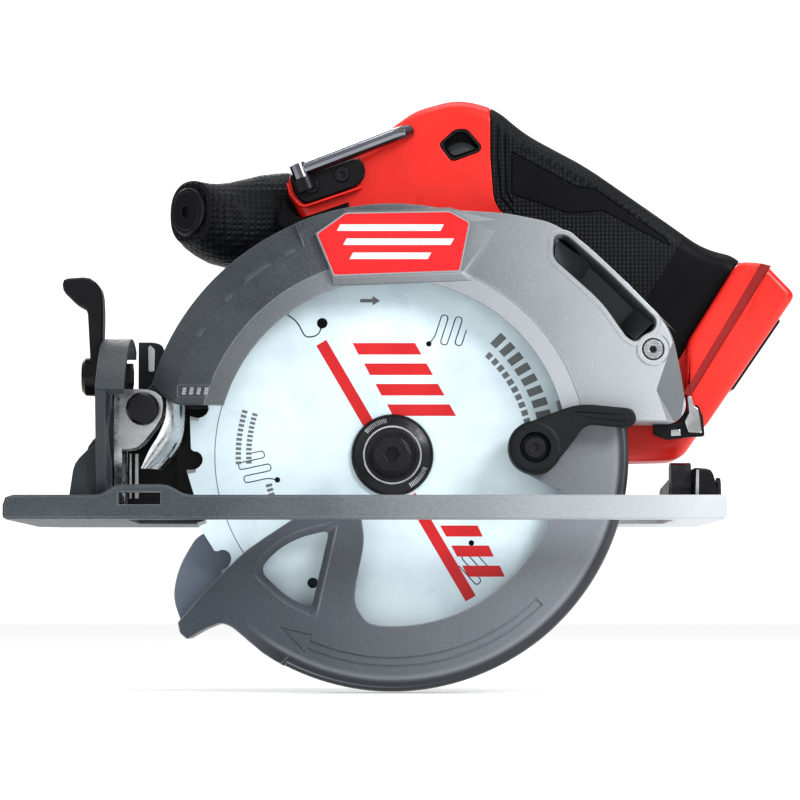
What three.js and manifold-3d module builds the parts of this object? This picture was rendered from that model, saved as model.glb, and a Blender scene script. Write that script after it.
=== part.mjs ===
// Cordless circular saw, blade on the left, 165 mm blade.
// Millimetres. +Z up, front of the saw -X, blade side -Y, motor side +Y.
// The drawing below is laid out about the blade: X 0 on the arbor, Y 0 in the blade's plane,
// Z 0 on the sole. The whole saw is then moved along Y by FRAME_SHIFT.
import * as THREE from "three";
import { mergeVertices, toCreasedNormals } from "three/addons/utils/BufferGeometryUtils.js";
import Module from "manifold-3d";

const wasm = await Module();
wasm.setup();
const { Manifold, Mesh } = wasm;

// ---------------------------------------------------------------- driving dimensions
const FRAME_SHIFT = -50; // puts the frame's origin under the motor, on the solid half of the sole
const ARBOR_Z = 26.5; // arbor above the sole at full depth
const BLADE_R = 82.5;
const BLADE_T = 1.1;
const TEETH = 24;
const SHOE = { x0: -150.7, x1: 129.4, y0: -45, y1: 100, deck: 5, rail: 9.4 };
const SLOT = { x0: -104, x1: 110.5, y0: -33, y1: 37 };
const BEVEL = { y: 0, z: 12 }; // bevel axis, along X
const DEPTH = { x: -99, z: 44.5 }; // depth axis, along Y
const MOTOR = { x: 8, z: ARBOR_Z + 23.685 }; // motor axis, 25 mm from the arbor
const GUARD_R = 99.5; // upper guard, outside
const LOWER_R = 94; // lower guard, outside
const WINDOW_R = 69.5; // opening in the upper guard's near wall
const GUARD_WALL = 2.5;
const GUARD_Y = 16; // half width of the upper guard
const LOWER_Y = 12; // half width of the lower guard
const PARTING = 38; // handle's parting plane
const HANDLE_Y = [18, 58];
const FOOT_Y = [6, 66];
const CLAMP = { x: 90.9, z: 38 }; // depth clamp bolt at rest
const GAP = 0.3; // air left between neighbouring pieces
const MODULE = 1; // gear module
const GEAR_TEETH = 40;
const PINION_TEETH = 10;

// ---------------------------------------------------------------- drawing helpers
const deg = THREE.MathUtils.degToRad;
const V3 = (x, y, z) => new THREE.Vector3(x, y, z);

function solid(geometry) {
  const bare = new THREE.BufferGeometry();
  bare.setAttribute("position", geometry.getAttribute("position"));
  if (geometry.index) bare.setIndex(geometry.index);
  const merged = mergeVertices(bare, 1e-4);
  const tris = Uint32Array.from(merged.index.array);
  const make = () =>
    new Manifold(
      new Mesh({
        numProp: 3,
        vertProperties: Float32Array.from(merged.getAttribute("position").array),
        triVerts: tris,
      }),
    );
  const first = make();
  if (first.volume() > 0) return first;
  for (let i = 0; i < tris.length; i += 3) [tris[i + 1], tris[i + 2]] = [tris[i + 2], tris[i + 1]];
  return make();
}

const join = (first, ...rest) => rest.reduce((sum, next) => sum.add(next), first);
const cut = (first, ...rest) => rest.reduce((left, tool) => left.subtract(tool), first);
const common = (first, second) => first.intersect(second);

// corners [x, y, radius] moved inwards by a distance
function shrunk(corners, distance) {
  const points = corners.map(([x, y]) => new THREE.Vector2(x, y));
  const side = THREE.ShapeUtils.isClockWise(points) ? -1 : 1;
  const count = points.length;
  return points.map((p, i) => {
    const into = p.clone().sub(points[(i + count - 1) % count]).normalize();
    const out = points[(i + 1) % count].clone().sub(p).normalize();
    const normal = new THREE.Vector2(-(into.y + out.y), into.x + out.x).normalize();
    const stretch = Math.max(0.5, normal.dot(new THREE.Vector2(-into.y, into.x)));
    const moved = p.clone().addScaledVector(normal, (side * distance) / stretch);
    return [moved.x, moved.y, corners[i][2]];
  });
}

// outline through corners [x, y, radius], each corner eased by its own radius
function outline(corners, radius = 0) {
  const shape = new THREE.Shape();
  const count = corners.length;
  corners.forEach(([x, y, r = radius], i) => {
    const here = new THREE.Vector2(x, y);
    const before = new THREE.Vector2(...corners[(i + count - 1) % count]);
    const after = new THREE.Vector2(...corners[(i + 1) % count]);
    const back = before.clone().sub(here);
    const ahead = after.clone().sub(here);
    const trim = Math.min(r, back.length() * 0.48, ahead.length() * 0.48);
    const start = here.clone().addScaledVector(back.normalize(), trim);
    const end = here.clone().addScaledVector(ahead.normalize(), trim);
    if (i === 0) shape.moveTo(start.x, start.y);
    else shape.lineTo(start.x, start.y);
    if (trim > 0.05) shape.quadraticCurveTo(x, y, end.x, end.y);
  });
  shape.closePath();
  return shape;
}

const box2 = (x0, y0, x1, y1, r = 0) => outline([[x0, y0], [x1, y0], [x1, y1], [x0, y1]], r);

// points on an arc, angles in degrees
function arc(cx, cy, r, from, to, steps) {
  return Array.from({ length: steps + 1 }, (_, i) => {
    const a = deg(from + ((to - from) * i) / steps);
    return [cx + r * Math.cos(a), cy + r * Math.sin(a)];
  });
}

const BASES = {
  X: new THREE.Matrix4().makeBasis(V3(0, 1, 0), V3(0, 0, 1), V3(1, 0, 0)),
  Y: new THREE.Matrix4().makeBasis(V3(1, 0, 0), V3(0, 0, 1), V3(0, -1, 0)),
  Z: new THREE.Matrix4(),
};

// the drawing as plain corners without repeats
function plain(shape, curve) {
  const drawn = shape.extractPoints(curve);
  const thin = (points) =>
    points.filter((p, i) => p.distanceTo(points[(i + points.length - 1) % points.length]) > 0.03);
  const result = new THREE.Shape(thin(drawn.shape));
  result.holes = drawn.holes.map((hole) => new THREE.Path(thin(hole)));
  return result;
}

// a flat drawing given thickness along an axis, with its edges eased by round
// drawn in (y, z) for X, (x, z) for Y and (x, y) for Z
function slab(axis, shape, from, to, { round = 0, steps = 1, curve = 2 } = {}) {
  const geometry = new THREE.ExtrudeGeometry(plain(shape, curve), {
    depth: to - from - 2 * round,
    bevelEnabled: round > 0,
    bevelThickness: round,
    bevelSize: round,
    bevelOffset: -round,
    bevelSegments: steps,
  });
  geometry.translate(0, 0, axis === "Y" ? round - to : from + round);
  geometry.applyMatrix4(BASES[axis]);
  try {
    return solid(geometry);
  } catch (error) {
    // the easing is wider than a corner of the drawing: ease it less
    if (round === 0) throw error;
    return slab(axis, shape, from, to, { round: round > 0.25 ? round * 0.6 : 0, steps, curve });
  }
}

const AXES = { X: [0, 0, -Math.PI / 2], Y: [0, 0, 0], Z: [Math.PI / 2, 0, 0] };

// solid of revolution, profile [radius, height] along the axis through (a, b)
function turned(axis, [a, b], profile, segments = 24) {
  const geometry = new THREE.LatheGeometry(profile.map(([r, h]) => new THREE.Vector2(r, h)), segments);
  geometry.applyMatrix4(new THREE.Matrix4().makeRotationFromEuler(new THREE.Euler(...AXES[axis])));
  const shift = { X: [0, a, b], Y: [a, 0, b], Z: [a, b, 0] }[axis];
  geometry.translate(...shift);
  return solid(geometry);
}

const rod = (axis, at, r, from, to, segments = 20) =>
  turned(axis, at, [[0, from], [r, from], [r, to], [0, to]], segments);

const ring = (axis, at, rOut, rIn, from, to, segments = 20) =>
  turned(axis, at, [[rIn, from], [rOut, from], [rOut, to], [rIn, to], [rIn, from]], segments);

// round bar swept through points, corners eased
function bar(points, r, sides = 12, steps = 24) {
  const path = new THREE.CatmullRomCurve3(points.map((p) => V3(...p)), false, "catmullrom", 0.2);
  const section = new THREE.Shape();
  section.absarc(0, 0, r, 0, Math.PI * 2);
  const geometry = new THREE.ExtrudeGeometry(section, {
    steps,
    bevelEnabled: false,
    extrudePath: path,
    curveSegments: sides,
  });
  return solid(geometry);
}

// skin through a row of rings, each [centre, across, up, halfAcross, halfUp]
function loft(rings, sides = 24, power = 2.4) {
  const positions = [];
  const index = [];
  for (const [centre, across, up, a, b] of rings) {
    for (let i = 0; i < sides; i++) {
      const t = (i / sides) * Math.PI * 2;
      const c = Math.cos(t);
      const s = Math.sin(t);
      const u = Math.sign(c) * Math.abs(c) ** (2 / power) * a;
      const v = Math.sign(s) * Math.abs(s) ** (2 / power) * b;
      const p = V3(...centre).addScaledVector(V3(...across), u).addScaledVector(V3(...up), v);
      positions.push(p.x, p.y, p.z);
    }
  }
  for (let k = 0; k + 1 < rings.length; k++) {
    for (let i = 0; i < sides; i++) {
      const a = k * sides + i;
      const b = k * sides + ((i + 1) % sides);
      index.push(a, b, a + sides, b, b + sides, a + sides);
    }
  }
  const last = (rings.length - 1) * sides;
  for (let i = 1; i + 1 < sides; i++) {
    index.push(0, i + 1, i);
    index.push(last, last + i, last + i + 1);
  }
  const geometry = new THREE.BufferGeometry();
  geometry.setAttribute("position", new THREE.Float32BufferAttribute(positions, 3));
  geometry.setIndex(index);
  return solid(geometry);
}

// involute gear outline, tooth 0 centred on the angle phase (radians)
function gearOutline(teeth, phase, cx, cy) {
  const pitch = (MODULE * teeth) / 2;
  const base = pitch * Math.cos(deg(20));
  const tip = pitch + 0.85 * MODULE;
  const root = pitch - 1.1 * MODULE;
  const involute = (r) => {
    const a = Math.acos(base / Math.max(base, r));
    return Math.tan(a) - a;
  };
  const halfTooth = Math.PI / (2 * teeth) - 0.09 / pitch;
  const radii = [root, tip];
  const half = (r) => Math.max(0.012, halfTooth + involute(pitch) - involute(r));
  const points = [];
  for (let k = 0; k < teeth; k++) {
    const mid = phase + (k * 2 * Math.PI) / teeth;
    const put = (r, a) => points.push(new THREE.Vector2(cx + r * Math.cos(a), cy + r * Math.sin(a)));
    radii.forEach((r) => put(r, mid - half(r)));
    [...radii].reverse().forEach((r) => put(r, mid + half(r)));
  }
  return new THREE.Shape(points);
}

// ---------------------------------------------------------------- materials
function finish(color, roughness, metalness) {
  return new THREE.MeshStandardMaterial({ color, roughness, metalness });
}
const M = {
  magnesium: () => finish(0x6a7077, 0.55, 0.45),
  darkMagnesium: () => finish(0x4f555c, 0.6, 0.4),
  red: () => finish(0xe2372b, 0.42, 0.0),
  black: () => finish(0x17171b, 0.55, 0.0),
  rubber: () => finish(0x141418, 0.85, 0.0),
  blackSteel: () => finish(0x1d1e21, 0.42, 0.7),
  zinc: () => finish(0xb9bec2, 0.32, 0.9),
  chrome: () => finish(0xdde1e4, 0.12, 1.0),
  steel: () => finish(0x9a9fa4, 0.35, 0.9),
  bladeCoat: () => finish(0xe4eef0, 0.35, 0.25),
  copper: () => finish(0xb0683a, 0.4, 0.8),
  board: () => finish(0x1f5a38, 0.5, 0.0),
  lens: () => finish(0xe9eef2, 0.1, 0.0),
  label: () => finish(0xd0252b, 0.3, 0.1),
};

const group = new THREE.Group();
group.name = "circular_saw";
const saw = new THREE.Group();
saw.position.y = FRAME_SHIFT;
group.add(saw);

function piece(name, manifold, material) {
  const mesh = manifold.getMesh();
  const geometry = new THREE.BufferGeometry();
  geometry.setAttribute("position", new THREE.BufferAttribute(Float32Array.from(mesh.vertProperties), 3));
  geometry.setIndex(new THREE.BufferAttribute(Uint32Array.from(mesh.triVerts), 1));
  const part = new THREE.Mesh(toCreasedNormals(geometry, deg(32)), material);
  part.name = name;
  saw.add(part);
  return manifold;
}

// ---------------------------------------------------------------- shoe
const AXLE = [0, ARBOR_Z];
const deckOutline = box2(SHOE.x0 + 3, SHOE.y0 + 3, SHOE.x1 - 3, SHOE.y1 - 3, 8);
deckOutline.holes.push(box2(SLOT.x0, SLOT.y0, SLOT.x1, SLOT.y1, 7));
const nearRail = outline([
  [SHOE.x0, 0, 1.5],
  [SHOE.x1, 0, 1.5],
  [SHOE.x1, SHOE.rail, 2],
  [-80.6, SHOE.rail, 3],
  [-86.4, 13.4, 3],
  [-107.7, 13.4, 3],
  [-112.4, SHOE.rail, 3],
  [SHOE.x0, SHOE.rail, 4],
]);
const farRail = outline([
  [SHOE.x0 + 8, 0],
  [SHOE.x1 - 8, 0],
  [SHOE.x1 - 9, 8.5, 2],
  [-80, 8.5, 3],
  [-86, 14, 3],
  [-110, 14, 3],
  [-116, 8.5, 3],
  [SHOE.x0 + 9, 8.5, 2],
]);
const FENCE = { x0: -106, x1: -89.6, z0: 5.6, z1: 10.4 };
const KNOB = [-98, 82];
piece(
  "shoe_plate",
  cut(
    join(
      slab("Z", deckOutline, 0, SHOE.deck),
      slab("Y", nearRail, SHOE.y0, SHOE.y0 + 7.5, { round: 0.8 }),
      slab("Y", farRail, SHOE.y1 - 5, SHOE.y1, { round: 0.8 }),
      slab("Y", outline([[-112, 2], [-84, 2], [-84, 15], [-112, 15]], 2), 74, 90),
      slab("Z", box2(SHOE.x0 + 0.4, -40, SHOE.x0 + 6, 92, 2.5), 0, 8),
      slab("Z", box2(SHOE.x1 - 5.4, -40, SHOE.x1 - 0.4, 92, 2), 0, 8),
    ),
    slab("Y", box2(FENCE.x0, FENCE.z0, FENCE.x1, FENCE.z1), -60, 120),
    rod("Z", KNOB, 3.3, 8, 20, 20),
    slab("Z", box2(119, -13.4, 135, 13.4), SHOE.deck + 0.1, 12),
  ),
  M.darkMagnesium(),
);

piece(
  "rip_fence_knob",
  join(rod("Z", KNOB, 2.9, 10.9, 17, 20), rod("Z", KNOB, 7.5, 16, 24, 10), rod("Z", KNOB, 5, 23, 26, 16)),
  M.black(),
);

// ---------------------------------------------------------------- front bevel quadrant
const QUAD_X = [-115, -111.2];
const around = (r, from, to, steps) => arc(BEVEL.y, BEVEL.z, r, 90 + from, 90 + to, steps);
const CLAMP_ARM = 46; // bevel clamp bolt's distance from the bevel axis
const quadrantFace = outline([
  [-36, SHOE.deck + GAP, 2],
  [38, SHOE.deck + GAP, 2],
  [40, 24, 6],
  ...around(60, -44, 51, 10),
  [-42, 24, 6],
]);
const clampSlot = outline([...around(CLAMP_ARM + 3.7, -7, 56, 7), ...around(CLAMP_ARM - 3.7, 56, -7, 7)]);
const lightening = outline([...around(36, 6, 52, 6), ...around(16, 50, 8, 3)], 2);
quadrantFace.holes.push(clampSlot, lightening);
const quadrantRim = outline([...around(61, -20, 51, 10), ...around(57.6, 51, -20, 10)]);
const gusset = (top) =>
  outline([
    [-126.4, SHOE.deck + GAP],
    [-113, SHOE.deck + GAP],
    [-113, top, 2],
    [-117, top - 1, 3],
    [-124, top - 8, 3],
  ]);
piece(
  "front_bevel_quadrant",
  cut(
    join(
      slab("X", quadrantFace, ...QUAD_X),
      slab("X", quadrantRim, QUAD_X[0], -104),
      slab("Y", gusset(30), -35.5, -30, { round: 0.6 }),
      slab("Y", gusset(39.4), 22, 27.5, { round: 0.6 }),
      slab("Z", box2(-127, -35.5, -112, 34, 3), SHOE.deck + GAP, 9),
    ),
    rod("X", [BEVEL.y, BEVEL.z], 4.1, -130, -100),
    rod("X", [BEVEL.y, BEVEL.z], 6.6, -119, QUAD_X[0], 16),
  ),
  M.darkMagnesium(),
);
piece("front_bevel_pin", join(rod("X", [0, 12], 4, -116, -106.8), rod("X", [0, 12], 6, -118, -115.3, 16)), M.zinc());

// rear pivot: fixed bracket and pin
const tailBracket = outline([
  [119.3, SHOE.deck + GAP],
  [129, SHOE.deck + GAP],
  [129, 12, 2],
  [126.4, 20.6, 2],
  [119.3, 21.2, 1],
]);
piece(
  "rear_pivot_bracket",
  cut(slab("Y", tailBracket, -13, 13, { round: 0.8 }), rod("X", [0, 12], 4.3, 100, 140)),
  M.black(),
);
piece("rear_pivot_pin", join(rod("X", [0, 12], 4, 111.2, 129.4), rod("X", [0, 12], 5.6, 129.2, 130.8, 16)), M.zinc());

// ---------------------------------------------------------------- tilting cradle
const PLATE_X = [-110.6, -107.4];
const cradleFace = outline([
  [-4.2, 6.8, 3],
  [40, 7, 4],
  [50, 11.2, 3],
  [66, 11.2, 2],
  [66, 20, 5],
  [24, 24, 6],
  [20, 50, 8],
  [10, 67, 6],
  [-8.4, 67, 5],
  [-9.4, 26, 4],
  [-6.5, 14, 3],
]);
const earOutline = outline([
  [-108.4, 28.7, 1],
  [-101, 28.7, 4],
  [-91.2, 41, 5],
  [-91.2, 50, 5],
  [-97, 52.6, 4],
  [-108.4, 52.4, 1],
]);
const STEP_X = -64; // the strip steps up here to clear the rip fence
const STRIP_Y = [51.5, 71.4];
const rearStrip = box2(STEP_X, STRIP_Y[0], 114.8, STRIP_Y[1]);
const frontStrip = outline([
  [-110.6, STRIP_Y[0]],
  [STEP_X + 2.8, STRIP_Y[0]],
  [STEP_X + 2.8, STRIP_Y[1]],
  [-96, STRIP_Y[1], 8],
  [-110.6, 66, 4],
]);
const armArc = (r, from, to, steps) => arc(DEPTH.x, DEPTH.z, r, from, to, steps);
const armOutline = outline([...armArc(198, -11.2, 27.5, 9), ...armArc(182, 27.5, -11.9, 9)]);
armOutline.holes.push(outline([...armArc(194, -3.6, 25.6, 8), ...armArc(186, 25.6, -3.6, 8)]));
const yoke = outline([
  [-5, 7.8, 3],
  [71.4, 6.6],
  [71.4, 15, 4],
  [12, 18, 6],
  [6.5, 23.4, 4],
  [-6.5, 23.4, 4],
]);
piece(
  "bevel_cradle",
  cut(
    join(
      slab("X", cradleFace, ...PLATE_X),
      slab("Y", earOutline, -9.4, -6.4),
      slab("Y", earOutline, 6.4, 9.4),
      slab("Z", rearStrip, 6.6, 9.4),
      slab("Z", frontStrip, 11.2, 14),
      slab("X", box2(STRIP_Y[0], 6.6, STRIP_Y[1], 14), STEP_X, STEP_X + 2.8),
      slab("Y", armOutline, 68.4, 71.4),
      slab("X", yoke, 111.8, 114.8),
      slab("X", outline([[-4.4, 6.4, 3], [4.4, 6.4, 3], [6.4, 12, 3], [6.4, 23.4, 4], [-6.4, 23.4, 4], [-6.4, 12, 3]]), 110.8, 118.8),
    ),
    rod("X", [0, 12], 4.1, -120, 130),
    rod("Y", [DEPTH.x, DEPTH.z], 3.15, -20, 20, 20),
    rod("X", [0, BEVEL.z + CLAMP_ARM], 3.15, -120, -100, 20),
  ),
  M.zinc(),
);
piece(
  "depth_pivot_bolt",
  join(
    rod("Y", [DEPTH.x, DEPTH.z], 3, -10, 13.8, 20),
    turned("Y", [DEPTH.x, DEPTH.z], [[0, -15], [5.4, -15], [6.6, -13.6], [6.6, -9.7], [0, -9.7]], 20),
    rod("Y", [DEPTH.x, DEPTH.z], 5.6, 9.7, 13.8, 6),
  ),
  M.blackSteel(),
);
const BEVEL_NUT = [0, BEVEL.z + CLAMP_ARM];
piece(
  "bevel_clamp_bolt",
  join(rod("X", BEVEL_NUT, 3, -121, -104, 20), rod("X", BEVEL_NUT, 5.4, -107.1, -103.7, 6)),
  M.blackSteel(),
);

// bevel lever: round hub on the bolt, arm rising beside the quadrant, thumb pad turned forward
const leverSide = outline([
  [-116, 50, 2],
  [-120.5, 56, 2],
  [-120.5, 66, 2],
  [-121.6, 84.5, 3],
  [-125.5, 86, 3],
  [-131.6, 92, 2],
  [-131.6, 96.8, 2],
  [-120.5, 97.6, 3],
  [-116, 93, 4],
  [-115.4, 84, 3],
]);
piece(
  "bevel_lever",
  cut(
    join(
      slab("Y", leverSide, -6.5, 6.5, { round: 1.2 }),
      turned("X", BEVEL_NUT, [[0, -124], [6, -124], [7.6, -122.6], [8, -115.4], [0, -115.4]], 20),
    ),
    rod("X", BEVEL_NUT, 3.15, -122, -100, 20),
  ),
  M.black(),
);

// ---------------------------------------------------------------- upper guard
const C = (r, from, to, steps) => arc(0, ARBOR_Z, r, from, to, steps);
const skirt = [
  ...C(GUARD_R, 163.5, 77, 14),
  [44.6, 122.3, 6],
  [63, 118.6, 5],
  [77.1, 109.7, 5],
  [98.3, 89.2, 4],
  [109.6, 77.2, 6],
  [113.9, 63, 8],
  [117.2, 44.6, 4],
  [113, 39.2, 3],
];
const guardBlank = outline([...skirt, [60, 39.5], [60, 9], [-58, 9], [-70, 45.9, 6], [-87, 45.9, 4], [-94.4, 53.4, 1]]);
const cavity = outline([...C(GUARD_R - GUARD_WALL, 176, 8, 20), [97, 20], [97, -20], [-100, -20], [-100, 30]]);
const nearCut = outline([
  ...C(WINDOW_R, 164, 11, 18),
  [90, 39.5, 0.5],
  [118, 39.0],
  [118, -20],
  [-100, -20],
  [-100, 45.9],
  [-73, 45.9, 3],
]);
const pocket = outline([
  [63.3, 104, 3],
  [63.8, 113.4, 4],
  [69, 113.8, 3],
  [85, 99.6, 4],
  [104.8, 80, 4],
  [104.4, 76, 3],
  [96, 70.4, 4],
  [92.4, 72.6, 3],
  [83, 86.3, 6],
  [71, 97.2, 5],
]);
const panel = outline([
  [-31.8, 113, 2],
  [-19, 123.4, 4],
  [22.7, 124.2, 8],
  [43, 119, 2],
  [30.8, 95.4, 4],
  [-23.5, 93.4, 2],
]);
const lug = outline([
  [-104.8, 44.5, 4],
  [-103, 49, 3],
  [-99, 51.4, 3],
  [-91, 60, 2],
  [-88, 47, 2],
  [-93.4, 42.8, 4],
  [-99, 38.7, 4],
  [-103.2, 40.4, 3],
]);
const NOSE_R = 19.7; // gear case nose that carries the lower guard
piece(
  "upper_guard",
  cut(
    join(
      cut(
        slab("Y", guardBlank, -GUARD_Y, GUARD_Y, { round: 1.2, curve: 2 }),
        slab("Y", cavity, -GUARD_Y + GUARD_WALL, GUARD_Y - GUARD_WALL),
        slab("Y", nearCut, -40, -GUARD_Y + GUARD_WALL + 0.5),
      ),
      slab("Y", panel, -18.4, -14.6, { round: 1, curve: 2 }),
      slab("Y", lug, -6, 6),
      rod("Y", [103.2, 67.9], 6.4, -16.6, -13, 20),
    ),
    slab("Y", pocket, -30, 8, { curve: 2 }),
    rod("Y", AXLE, NOSE_R + 0.5, 0, 40, 28),
    rod("Y", [DEPTH.x, DEPTH.z], 3.15, -20, 20, 20),
    rod("Y", [103.2, 67.9], 4.6, -30, -15.2, 20),
    rod("Y", [103.2, 67.9], 2.4, -30, -4, 16),
    rod("Y", [-62, 76], 11.6, 10, 30, 20),
  ),
  M.magnesium(),
);
piece(
  "guard_badge",
  slab(
    "Y",
    outline([
      [-30, 113.4, 2],
      [-18.6, 121.6, 4],
      [22.7, 122.3, 6],
      [30.4, 118, 2],
      [26.6, 98.6, 2],
      [-23, 96.6, 2],
    ]),
    -19.4,
    -18.4 - GAP,
    { round: 0.3 },
  ),
  M.label(),
);
piece(
  "guard_screw",
  cut(
    join(rod("Y", [103.2, 67.9], 4.1, -17.2, -15.5, 20), rod("Y", [103.2, 67.9], 2.1, -16, -6, 16)),
    rod("Y", [103.2, 67.9], 1.9, -20, -15.9, 6),
  ),
  M.steel(),
);
piece(
  "nose_deflector",
  slab(
    "Y",
    outline([
      [-83.2, 44.9],
      [-84.9, 37],
      [-85, 33, 2],
      [-86, 30.6, 2],
      [-94, 23.4],
      [-94.8, 24.4],
      [-87, 31.4, 2],
      [-86.3, 33.4, 2],
      [-86.2, 37],
      [-84.6, 45.2],
    ]),
    -12.5,
    12.5,
  ),
  M.zinc(),
);
piece("guard_bumper", slab("Y", outline([[86.2, 43.2], [91.5, 43.2], [91.5, 50], [86.2, 50]], 1), -13.2, -12.5), M.rubber());
piece(
  "guard_tie_bracket",
  slab("Y", outline([[117.7, 36], [121, 34.8], [124.4, 37], [123.4, 50], [119.4, 51.2], [117.7, 49]], 1.5), 0.6, 4.4, {
    round: 0.5,
  }),
  M.zinc(),
);
piece("dust_chute", ring("Y", [-62, 76], 11.2, 9.2, 13.8, 34, 20), M.black());

// ---------------------------------------------------------------- gear case
const CASE_Y = [GUARD_Y + GAP, 35];
const SPIN = { r: 6, bearing: 13 };
piece(
  "gear_case",
  cut(
    join(
      rod("Y", AXLE, 24.7, ...CASE_Y, 28),
      rod("Y", [MOTOR.x, MOTOR.z], 29, ...CASE_Y, 28),
      rod("Y", AXLE, NOSE_R, 8.4, 20, 28),
      slab("Y", outline([[-24, 30], [-26, 92], [30, 92], [36, 50], [24, 30]], 6), ...CASE_Y),
      rod("X", [26, ARBOR_Z + 2], 5.6, -31, -20, 20),
    ),
    rod("Y", AXLE, 21.7, 18.8, 40, 28),
    rod("Y", [MOTOR.x, MOTOR.z], 9, 18.8, 40, 20),
    rod("Y", AXLE, SPIN.bearing + 0.2, 9.6, 30, 28),
    rod("Y", AXLE, 10, 5, 12, 20),
    rod("X", [26, ARBOR_Z + 2], 3.3, -40, -15, 20),
  ),
  M.magnesium(),
);
piece(
  "spindle_lock_button",
  join(rod("X", [26, ARBOR_Z + 2], 3, -36.5, -25.5, 20), rod("X", [26, ARBOR_Z + 2], 6, -40.5, -36, 20)),
  M.black(),
);

// bearings
const bearing = (name, at, rOut, rIn, from, to) =>
  piece(name, ring("Y", at, rOut, rIn, from, to, 20), M.steel());
bearing("spindle_bearing_front", AXLE, SPIN.bearing - 0.1, SPIN.r + 0.15, 12.2, 18.4);
bearing("spindle_bearing_rear", AXLE, 9, SPIN.r - 0.85, 29.6, 34);
bearing("motor_bearing_front", [MOTOR.x, MOTOR.z], 8, 4.15, 36.2, 41.2);
bearing("motor_bearing_rear", [MOTOR.x, MOTOR.z], 8, 4.15, 88.4, 93.4);

// ---------------------------------------------------------------- spindle and blade
function bladeOutline() {
  const points = [];
  const step = 360 / TEETH;
  for (let i = 0; i < TEETH; i++) {
    const a = -i * step;
    const at = (r, off) => {
      const t = deg(a + off);
      return new THREE.Vector2(r * Math.cos(t), ARBOR_Z + r * Math.sin(t));
    };
    points.push(at(BLADE_R, 0), at(BLADE_R - 5.2, -0.3), at(BLADE_R - 8.6, -1.6), at(BLADE_R - 8.6, -4));
    points.push(at(BLADE_R - 5, -7.4), at(BLADE_R - 1.4, -11.8));
  }
  const shape = new THREE.Shape(points);
  for (const [x, z] of [[-32, 77], [8, 84], [30, 67], [49, -12], [22, -22]]) {
    const hole = new THREE.Path();
    hole.absarc(x, z, 1.5, 0, Math.PI * 2);
    shape.holes.push(hole);
  }
  const bore = new THREE.Path();
  bore.absarc(0, ARBOR_Z, SPIN.r + 0.4, 0, Math.PI * 2);
  shape.holes.push(bore);
  return shape;
}
piece("blade", slab("Y", bladeOutline(), -BLADE_T / 2, BLADE_T / 2, { curve: 5 }), M.bladeCoat());
piece(
  "outer_flange",
  cut(
    turned("Y", AXLE, [[0, -5], [11.4, -5], [15.6, -3.2], [16.4, -1.6], [16.4, -0.85], [0, -0.85]], 28),
    rod("Y", AXLE, 4.4, -10, 5, 20),
  ),
  M.blackSteel(),
);
piece("inner_flange", ring("Y", AXLE, 16.4, SPIN.r + 0.4, 0.85, 5.6, 28), M.blackSteel());
piece(
  "arbor_bolt",
  cut(
    join(
      turned("Y", AXLE, [[0, -7], [11, -7], [11, -5.3], [0, -5.3]], 20),
      turned("Y", AXLE, [[0, -14], [7.4, -14], [8.4, -13], [8.4, -6], [0, -6]], 20),
      rod("Y", AXLE, 4, -6, 12, 20),
    ),
    rod("Y", AXLE, 3.4, -20, -9, 6),
  ),
  M.blackSteel(),
);
piece(
  "spindle_shaft",
  cut(
    join(rod("Y", AXLE, SPIN.r, -0.3, 28.6, 20), rod("Y", AXLE, 5, 28, 34.6, 20)),
    rod("Y", AXLE, 4.4, -5, 13, 20),
  ),
  M.steel(),
);
const MESH_ANGLE = Math.atan2(MOTOR.z - ARBOR_Z, MOTOR.x);
const driveGear = gearOutline(GEAR_TEETH, MESH_ANGLE, 0, ARBOR_Z);
piece("drive_gear", cut(slab("Y", driveGear, 20, 28), rod("Y", AXLE, SPIN.r + 0.2, 10, 30)), M.steel());

// ---------------------------------------------------------------- motor
const MOTOR_AXIS = [MOTOR.x, MOTOR.z];
const pinionPhase = MESH_ANGLE + Math.PI + Math.PI / PINION_TEETH;
piece(
  "motor_pinion",
  join(
    slab("Y", gearOutline(PINION_TEETH, pinionPhase, ...MOTOR_AXIS), 19.6, 28.4),
    rod("Y", MOTOR_AXIS, 4, 27.6, 97, 20),
  ),
  M.steel(),
);
piece("rotor", ring("Y", MOTOR_AXIS, 18, 4.3, 54, 82, 20), M.blackSteel());
const fanBlades = Array.from({ length: 9 }, (_, i) => {
  const blade = slab("Y", outline([[9, -1.1], [29, 3], [29.4, 5], [9, 1.1]]), 45.4, 51);
  return blade.rotate([0, (i * 360) / 9, 0]);
});
piece(
  "cooling_fan",
  cut(
    join(
      rod("Y", MOTOR_AXIS, 10, 44, 51, 20),
      rod("Y", MOTOR_AXIS, 30, 44, 45.6, 20),
      ...fanBlades.map((b) => b.translate([MOTOR.x, 0, MOTOR.z])),
    ),
    rod("Y", MOTOR_AXIS, 4.3, 40, 60, 20),
  ),
  M.black(),
);
const statorTeeth = Array.from({ length: 6 }, (_, i) =>
  slab("Y", outline([[19.4, -4], [30, -3.4], [30, 3.4], [19.4, 4]]), 56, 80)
    .rotate([0, i * 60, 0])
    .translate([MOTOR.x, 0, MOTOR.z]),
);
piece("stator", join(ring("Y", MOTOR_AXIS, 33, 28.6, 56, 80, 20), ...statorTeeth), M.copper());
const HOUSING_R = 36.5;
const vents = (from, to, r) =>
  Array.from({ length: 6 }, (_, i) =>
    slab("Y", outline([[r, -3], [r + 16, -3], [r + 16, 3], [r, 3]]), from, to)
      .rotate([0, 30 + i * 60, 0])
      .translate([MOTOR.x, 0, MOTOR.z]),
  );
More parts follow.
